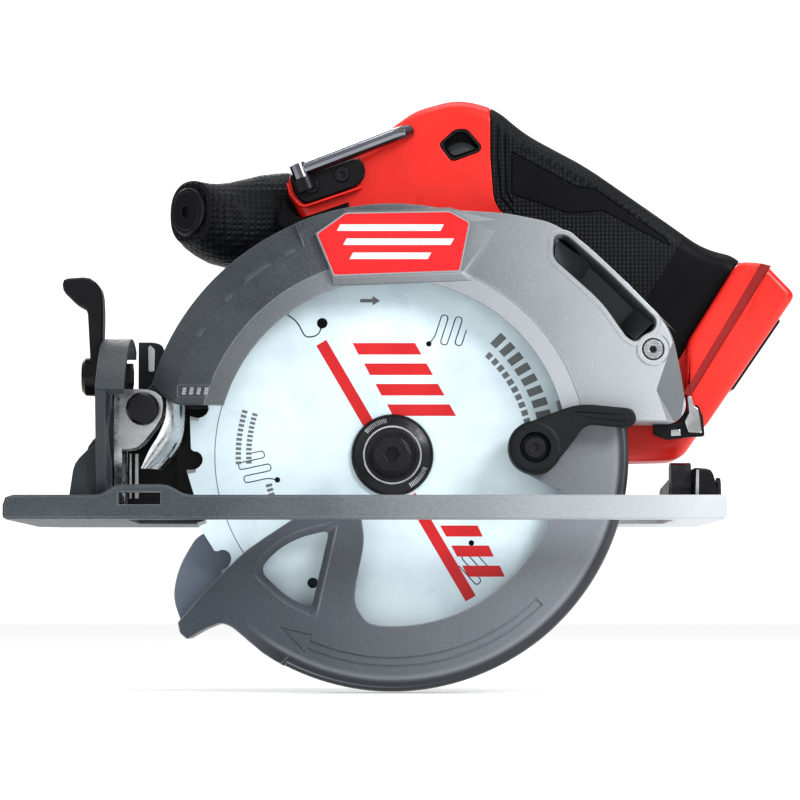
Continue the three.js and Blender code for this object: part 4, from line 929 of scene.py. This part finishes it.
grey_marks = []
MARK_ROWS = [   # count, first angle, step, inner radius, outer radius, angles at the corners
    (8, 49, -4.6, 59.5, 65.5, (0, -0.4, -3.2, -3.0)),
    (11, 47, -3.5, 54.2, 56.8, (0, 0, -2.3, -2.3)),
    (12, 163, 1.75, 60.5, 62.7, (0, 0, 1.05, 1.05)),
    (12, 163, 1.75, 56.3, 58.5, (0, 0, 1.05, 1.05)),
    (7, 193, 2.1, 49.5, 52, (0, 0, 1.3, 1.3)),
]
for count, first, step, inner, outer, turns in MARK_ROWS:
    for k in range(count):
        grey_marks.append([polar(r, first + k * step + turn) for r, turn in zip((inner, outer, outer, inner), turns)])
grey_marks.append([(-13, 87.8), (-8, 87.8), (-8, 86.6), (-5, 88.5), (-8, 90.4), (-8, 89.2), (-13, 89.2)])
prints("blade_grey_print", grey_marks, INK_GREY)
prints("blade_score_line", [arc(*AXLE, 71.15, 0, 357.5, 143)[:-1] + arc(*AXLE, 70.8, 357.5, 0, 143)[1:]], INK_GREY)

# ------------------------------------------------------------------ handle shells and battery foot
HANDLE = (18, 58)
PARTING = 38
MOTOR = (8, 50.185)
body = [(-42, 142.6, 2), (-43.5, 133, 4), (-38, 125, 6), (-28, 96, 8), (28, 96, 6), (37.5, 78, 6), (37.5, 27, 4),
        (96, 25, 4), (117, 25.6, 5), (124.5, 36.5, 2), (137, 60, 6), (148, 96, 8), (141, 108.6, 6), (127, 111.8, 8),
        (109, 124.6, 8), (79, 145.6, 8), (54, 159, 8), (42, 169.4, 6), (27, 173.4, 8), (9, 168.6, 6), (-12.6, 152.6, 3)]
finger_gap = [(47, 116, 7), (62, 105.5, 8), (86, 88.5, 8), (100, 67, 8), (93, 57, 7), (66, 57, 8), (53, 72, 8),
              (46, 97, 8)]
foot = [(139.4, 105, 3), (150, 104.6, 4), (162.4, 91.6, 3), (125.8, 38.4, 2), (118.6, 34.6, 2), (118.6, 72, 4)]
FOOT_Y = (6, 66)
grip = [(40, 190), (40, 149, 3), (41.4, 131, 3), (46.4, 124, 3), (47, 100), (95, 62), (113, 62), (153.6, 126.7),
        (153.6, 190)]
tail = [(150, 150), (119, 116.4), (104.2, 92), (90, 60), (113, 58), (160, 126.7)]
stripe = [(148.4, 104.2), (152.4, 103.2), (119.6, 50.4), (117.2, 52)]
lock_off = [(18.6, 154, 2), (25.4, 160.2, 2), (30.2, 160.4, 2), (36.2, 153.4, 2), (35.4, 151, 2), (24, 146.8, 2)]
receiver = [(160, 84), (137, 50.6), (131, 55), (154, 88)]
trigger_well = [(50, 104), (58, 97), (68, 92.5), (73.6, 93.6), (85.5, 111), (62, 121.6)]
HOOK_SCREWS = ((-33, 136.4), (-20.6, 141.2))
FOOT_SCREW = (90.9, 38)


def grip_solid(ease):
    return prism(body, rounded(*HANDLE, ease, 5), [finger_gap])


red = cut(grip_solid(6.5), slab(inset(grip, -0.25), -10, 90))
red = join(red, slab(foot, *FOOT_Y, 3.0), rod(FOOT_SCREW, 8, 50, 68, 0.5))
red = cut(
    red,
    slab(receiver, 20, 52, 1.0),
    prism(stripe, [(FOOT_Y[0] - 1, 0), (FOOT_Y[0] + 1.4, 0)]),
    prism(stripe, [(FOOT_Y[1] - 1.4, 0), (FOOT_Y[1] + 1, 0)]),
    rod(MOTOR, 36.8, 33.5, 110, segments=72),
    slab([(-31, 20), (-31, 92.4), (30.4, 92.4), (37, 50), (37, 20)], -5, 35.3),
    slab(lock_off, 10, 27.5),
    rod(FOOT_SCREW, 3.8, 40, 90),
    rod(FOOT_SCREW, 6.6, 40, 56, segments=6),
    wedge([(9.6, 17.9, 132.3), (15.8, 17.9, 139.4), (20.2, 17.9, 140), (43, 17.9, 131.6), (6, 20.6, 118),
           (46, 20.6, 116)], 10),
    *[rod(at, 1.9, 10, 24) for at in HOOK_SCREWS],
)
for side, low, high in (("left", -10, PARTING - 0.15), ("right", PARTING + 0.15, 100)):
    half = common(duplicate(red), slab([(-90, -20), (200, -20), (200, 210), (-90, 210)], low, high))
    piece(half, "housing_" + side, "saw_head", RED, ("handle_shell_" + side,), ease=0.35)
bpy.data.objects.remove(red)

strip = inset(stripe, -0.1)
# the groove along each side of the foot is lined with darker red as painted shade
plates(("foot_stripe_left", "saw_head", "red_plastic", RED_GROOVE_SHADE, strip, FOOT_Y[0] + 1.1, FOOT_Y[0] + 1.6, 0),
       ("foot_stripe_right", "saw_head", "red_plastic", RED_GROOVE_SHADE, strip, FOOT_Y[1] - 1.6, FOOT_Y[1] - 1.1, 0))

well = cut(slab(inset(lock_off, 0.15), 17.75, 27.3, 0.3), slab(inset(lock_off, 1.1), 10, 26.4))
piece(well, "lock_off_well", "saw_head", BLACK, ease=0.1)
button = common(slab(inset(lock_off, 1.7), 17.4, 22.4, 0.4), turned((28.2, 146.4), [
    (0, 12), (6.9, 18.4), (8.6, 19.8), (9.4, 22.4), (0, 22.4)], 48))
piece(button, "lock_off_cap", "lock_off_button", BUTTON, ("lock_off_button",), ease=0.25)

# rubber over the rear handle: ribs, grooves and a smooth panel on each side, and a smooth tail
rubber_zone = cut(common(grip_solid(7.0), slab(grip, -10, 90)),
                  slab(trigger_well, 31.4, 44.6), slab(inset(foot, -0.3), 0, 80),
                  slab(receiver, 20, 52))
panel = [(48.6, 150.6, 1), (48.6, 133.9, 1), (71.7, 126.0, 1), (85.5, 127.2, 1), (112.6, 112.6, 2), (110.6, 115.4, 1),
         (81.8, 135.6, 1), (74.7, 136.4, 1)]
ribs = []
for k in range(20):
    x, z = 53 + k * 2.7, 154.4 - k * 1.62
    ribs.append(ribbon([(x - 1.1, z - 1.9), (x + 1.9, z + 3.2)], 1.0))
grooves = [ribbon([(42.9, 166), (42.6, 149.6), (44.0, 132.4), (50, 125)], 0.7),
           ribbon([(46.0, 163), (45.8, 150), (46.2, 134.6), (49, 129.4)], 0.6), inset(panel, -0.5)]
# each side: how deep the ribs, the grooves and the smooth panel go
for face, rib, groove, inlay in (("left", (10, 18.55), (10, 18.9), (18.25, 19.4)),
                                 ("right", (57.45, 64), (57.1, 64), (56.6, 57.75))):
    rubber_zone = cut(rubber_zone, *[slab(t, *rib) for t in ribs], *[slab(t, *groove) for t in grooves])
    plates(("grip_panel_" + face, "saw_head", "rubber", SMOOTH_RUBBER, panel, *inlay, 0.25))
tail_part = common(duplicate(rubber_zone), slab(tail, -10, 90))
rubber_zone = cut(rubber_zone, slab(inset(tail, -0.03), -10, 90))
piece(rubber_zone, "grip_rubber", "saw_head", RUBBER, ("grip_overmold",), ease=0.25)
piece(tail_part, "grip_tail", "saw_head", SMOOTH_RUBBER, ease=0.25)

# ------------------------------------------------------------------ hook bracket lip and front grip
lip = ribbon([(-42.6, 137.5), (-41.4, 133.4, 2), (-37.0, 127.6, 3), (-12.4, 135.9)], 0.9)
plates(("hook_bracket_lip", "saw_head", "red_plastic", RED, lip, 12.5, 17.4, 0.2))

STATIONS = [    # x, y, z of the centre, turn, half width, half height
    (-39.0, 38, 127, 0, 16.6, 17.0), (-44.0, 38, 127, 0, 17, 17.5), (-48, 38, 126.2, 0, 17.4, 18.1),
    (-55, 37.6, 125, -5, 17.6, 18.4), (-62, 36, 123.6, -12, 17.2, 18), (-68, 33.6, 122.6, -20, 16.4, 17.4),
    (-73, 30.6, 122.8, -29, 15.4, 16.4), (-77, 27.2, 123.8, -37, 14.3, 15.2), (-79.6, 24.4, 125.0, -43, 13.6, 14.2),
    (-80.6, 23.2, 125.6, -45, 13.0, 13.6), (-82.2, 21.6, 126.4, -45, 12.6, 13.0), (-82.8, 21.0, 126.6, -45, 11.4, 11.8)]
SIDES = 72
SQUARENESS = 2 / 2.3
bm = bmesh.new()
rings = []
for x, y, z, turn, a, b in STATIONS:
    across = Vector((math.sin(math.radians(turn)), math.cos(math.radians(turn)), 0))
    loop = []
    for k in range(SIDES):
        c, s = math.cos(2 * math.pi * k / SIDES), math.sin(2 * math.pi * k / SIDES)
        u = math.copysign(abs(c) ** SQUARENESS, c) * a
        v = math.copysign(abs(s) ** SQUARENESS, s) * b
        loop.append(bm.verts.new(place(*(Vector((x, y, z + v)) + across * u))))
    rings.append(loop)
skin(bm, rings)
piece(as_object(bm), "front_grip_rubber", "saw_head", RUBBER_SCALES, ("front_grip",), ease=0)


def cap_disc(profile, sides):
    """Turned piece on the front grip's slanted end axis."""
    ob = turned((0, 0), [(r, -h) for r, h in profile], sides)
    for move in (Matrix.Translation((0, -BLADE_Y, 0)), Matrix.Rotation(math.radians(-45), 4, "Z"),
                 Matrix.Translation(place(-82.6, 21, 126.6))):
        ob.data.transform(move)
    return ob


cap = cut(cap_disc([(0, 0.1), (9.8, 0.1), (9.9, 1.2), (9.3, 1.9), (8.4, 2.2), (8.1, 1.9), (7.8, 1.9), (7.4, 2.3),
                    (0, 2.3)], 56),
          cap_disc([(0, 0.9), (2.7, 0.9), (2.7, 5), (0, 5)], 6))
piece(cap, "front_grip_end", "saw_head", BLACK, ("front_grip_cap",), ease=0.12)

# ------------------------------------------------------------------ arbor
flange = turned(AXLE, [(4.4, -0.85), (16.4, -0.85), (16.4, -1.7), (15.9, -2.6), (15.2, -3.2), (12.4, -4.4),
                       (11.9, -4.6), (4.4, -4.6)], 96)
piece(flange, "blade_flange", "spindle", OXIDE, ("outer_flange",), ease=0.12)
nicks = bmesh.new()
for k in range(26):
    a = 100 + k * 3.1 if k < 13 else 300 + (k - 13) * 3.1
    q = [polar(13.0, a), polar(14.9, a + 0.2), polar(14.9, a + 1.6), polar(13.0, a + 1.2)]
    skin(nicks, [[nicks.verts.new(place(x, y - lift, z)) for (x, z), y in zip(q, (-4.12, -3.32, -3.32, -4.12))]
                 for lift in (0, 0.14)])
piece(as_object(nicks), "flange_marks", "spindle", STEEL, ease=0)
silver = turned(AXLE, [(11.02, -5.0), (11.63, -5.0), (11.75, -4.88), (11.75, -4.62), (11.63, -4.5),
                       (11.02, -4.5), (10.9, -4.62), (10.9, -4.88)], 96)
piece(silver, "flange_ring", "spindle", BRIGHT, ease=0)
bolt = turned(AXLE, [(0, 11.5), (4, 11.5), (4, -4.7), (10.85, -4.7), (10.85, -5.6), (10.2, -6.0), (8.6, -5.5),
                     (7.2, -5.5), (7.2, -7.0), (0, -7.0)], 96)
head = rod(AXLE, 7.6, -10.4, -6, 0.5, segments=6)
bolt = cut(join(bolt, head), rod(AXLE, 3.3, -14, -7.2, segments=6))
piece(bolt, "arbor_bolt_head", "spindle", OXIDE, ("arbor_bolt",), ease=0.2)

# ------------------------------------------------------------------ lower guard lever
lever_arm = [(48, 36.4, 3), (57.5, 40.2, 4), (73.1, 46, 6), (94.8, 44, 4), (96.4, 39, 3), (93, 36.2, 3), (76, 38, 4),
             (69, 28, 5), (62, 20, 4), (52, 26, 4)]
lever = join(
    slab(lever_arm, -23.6, -18.6, 1.1),
    slab([(70, 43.2, 2), (92.4, 41.6, 1), (92.6, 38.6, 1), (77, 40.2, 2)], -24, -20, 0.5),
    turned(HUB, [(0, -24), (8.8, -24), (9.9, -23.6), (10.5, -22.6), (10.6, -12.6), (0, -12.6)], 64),
)
lever = cut(lever, turned(HUB, [(0, -30), (6.6, -30), (6.0, -23.4), (5.2, -20.7), (0, -20.7)], 48),
            rod(HUB, 2.3, -30, 0))
piece(lever, "guard_lever_arm", "lower_guard", BLACK_TEXTURED, ("guard_lever",), ease=0.35)


# ------------------------------------------------------------------ front bracket, deflector, rear tabs, boot
def post(x, width):
    return [(x, 9.8), (x + width, 9.8), (x + width, 28), (x, 28)]


plates(
    ("cradle_dark_wall", "bevel_cradle", "black_plastic", BLACK,
     [(-107.2, 7.4), (-84, 7.4), (-84, 34), (-91, 47.6), (-107.2, 47.6)], 17.5, 20.4, 0.3),
    ("cradle_strap", "bevel_cradle", "dark_magnesium", BRACKET,
     [(-103.2, 40), (-91.6, 47.2), (-91.6, 66, 4), (-93.6, 72.4, 5), (-97, 73.4, 3), (-103.2, 73.4)], 20.6, 23.6, 0.6),
    ("cradle_strap_edge", "bevel_cradle", "zinc", BRIGHT,
     [(-99.2, 61.4, 0.6), (-96.6, 61.4, 0.6), (-96.4, 70.4, 1), (-98.4, 72.2, 1), (-99.4, 71.4, 0.5)],
     20.2, 20.7, 0.15),
    ("cradle_post_1", "bevel_cradle", "zinc", ZINC, post(-106.4, 1.0), 16.4, 17.6, 0.2),
    ("cradle_post_2", "bevel_cradle", "zinc", ZINC, post(-104.2, 1.6), 16.4, 17.6, 0.2),
    # a black sheet behind the blade's front: painted shade for the guard's shaded interior
    ("guard_dark_screen", "saw_head", "black_plastic", BLACK,
     [(-58, 46), (-58, 9.4), (-86.5, 9.4), (-87.5, 30), (-87, 46)], 13.7, 15.9, 0.2),
)

near_side = [(-89.6, 53.0), (-89.6, 47.6), (-90.0, 41), (-92.6, 34.4), (-96.4, 28), (-99.6, 20.8)]
inner_side = [(-83.9, 53.0), (-83.5, 47.6), (-83.6, 39), (-84.9, 32), (-88.6, 26), (-93.6, 20.8)]
STEPS_ALONG, STEPS_ACROSS = 20, 14
NEAR_PART = 0.7     # of the steps across are on the near face, the rest go inwards


def along(points, t):
    """Smooth point on an open path, t from 0 to 1."""
    spot = t * (len(points) - 1)
    i = min(int(spot), len(points) - 2)
    f = spot - i
    p0, p1, p2, p3 = (points[max(0, min(len(points) - 1, j))] for j in (i - 1, i, i + 1, i + 2))
    return [0.5 * (2 * b + (c - a) * f + (2 * a - 5 * b + 4 * c - d) * f * f + (3 * b - 3 * c + d - a) * f ** 3)
            for a, b, c, d in zip(p0, p1, p2, p3)]


def deflector_point(t, s, thick):
    """A point of the sheet, t down its length and s round its bend."""
    a, b = along(near_side, t), along(inner_side, t)
    if s <= NEAR_PART:
        w = s / NEAR_PART
        x, z = (a[n] + (b[n] - a[n]) * w for n in (0, 1))
        return place(x + thick * 0.75 * (0.3 + 0.45 * s), -12.4 + 8.0 * w ** 1.7 + thick, z)
    w = (s - NEAR_PART) / (1 - NEAR_PART)
    return place(b[0] + thick * 0.75, -4.4 + 16.8 * w, b[1])


bm = bmesh.new()
under, top = [[[bm.verts.new(deflector_point(i / STEPS_ALONG, j / STEPS_ACROSS, thick))
                for j in range(STEPS_ACROSS + 1)] for i in range(STEPS_ALONG + 1)] for thick in (0.0, 0.8)]
for i in range(STEPS_ALONG):
    for j in range(STEPS_ACROSS):
        for rows, way in ((under, -1), (top, 1)):
            bm.faces.new((rows[i][j], rows[i + 1][j], rows[i + 1][j + 1], rows[i][j + 1])[::way])
for i in range(STEPS_ALONG):
    for j in (0, -1):
        bm.faces.new((under[i][j], under[i + 1][j], top[i + 1][j], top[i][j]))
for j in range(STEPS_ACROSS):
    for i in (0, -1):
        bm.faces.new((under[i][j + 1], under[i][j], top[i][j], top[i][j + 1]))
piece(as_object(bm), "nose_deflector_sheet", "saw_head", ZINC, ("nose_deflector",), ease=0)

plates(
    ("guard_tie_tab", "saw_head", "zinc", BRIGHT,
     [(116.9, 40.2, 0.6), (118.7, 43.6, 0.4), (118.1, 50.2, 0.4), (119.5, 50.6, 0.4), (121, 46, 0.6),
      (122.3, 45.4, 0.6), (123.2, 41, 0.8), (123.8, 35.5, 0.8), (118.4, 35.7, 0.8)], 0.8, 4.2, 0.3,
     "guard_tie_bracket"),
    ("guard_tie_backing", "saw_head", "black_plastic", BLACK,
     [(104.6, 39.6), (104.6, 35, 1), (110, 33, 1), (118, 34, 1), (125.2, 34.4, 1), (124.6, 42, 1), (122.6, 47.2, 1),
      (117, 44, 1), (115, 39.8)], 4.4, 8.4, 0.4),
    ("guard_tie_block", "saw_head", "zinc", ZINC,
     [(111.6, 34.4), (115.6, 34.6), (115.2, 37.2), (111.6, 37)], 3.6, 4.6, 0.2),
    ("rear_bracket_edge", "shoe", "zinc", ZINC,
     [(119.8, 9.8), (121.2, 9.8), (121.4, 20.2), (120.2, 20.4)], -13.5, -12.8, 0.15),
    ("grip_boot", "saw_head", "rubber", SMOOTH_RUBBER,
     [(-44.4, 135, 3), (-41.6, 127.4, 3), (-37.6, 123.6, 2), (-17.6, 130.4, 1), (-18.2, 124, 3), (-37, 117.6, 4),
      (-47, 120, 4)], 16.8, 20.6, 0.8),
)


# ------------------------------------------------------------------ looks of the CAD nodes
def carry(material, *nodes):
    """Looks for CAD nodes that keep their shape: a material and eased edges."""
    for node in nodes:
        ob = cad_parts[node]
        ob.data.materials.clear()
        ob.data.materials.append(material)
        normals = ob.data.attributes.get("custom_normal")
        if normals:
            ob.data.attributes.remove(normals)
        ob.data.shade_smooth()
        weld = ob.modifiers.new("weld", "WELD")
        weld.merge_threshold = WELD
        thin = ob.modifiers.new("planar", "DECIMATE")
        thin.decimate_type = "DISSOLVE"
        thin.angle_limit = math.radians(1.0)
        bevelled(ob, 0.3, 30.0)
        weighted = ob.modifiers.new("normals", "WEIGHTED_NORMAL")
        weighted.weight = 60


carry(CASE, "gear_case")
carry(SHOE, "shoe_plate")
carry(BRACKET, "front_bevel_quadrant")
carry(BLACK, "rear_pivot_bracket", "rip_fence_knob", "bevel_lever", "dust_chute", "spindle_lock_button",
      "motor_housing", "motor_end_cap", "cooling_fan", "trigger", "switch_body", "battery_terminal_block",
      "depth_lever", "hook_bracket")
carry(SMOOTH_RUBBER, "guard_bumper")
carry(CRADLE, "bevel_cradle")
carry(ZINC, "front_bevel_pin")
carry(OXIDE, "rear_pivot_pin", "depth_pivot_bolt", "bevel_clamp_bolt", "inner_flange", "rotor",
      "depth_clamp_bolt", "hook_screw_1", "hook_screw_2", "guard_lever_screw")
carry(STEEL, "spindle_bearing_front", "spindle_bearing_rear", "motor_bearing_front",
      "motor_bearing_rear", "spindle_shaft", "drive_gear", "motor_pinion", "guard_return_spring")
carry(CHROME, "rafter_hook")
carry(COPPER, "stator")
carry(BOARD, "control_board")
carry(LENS, "led_window")
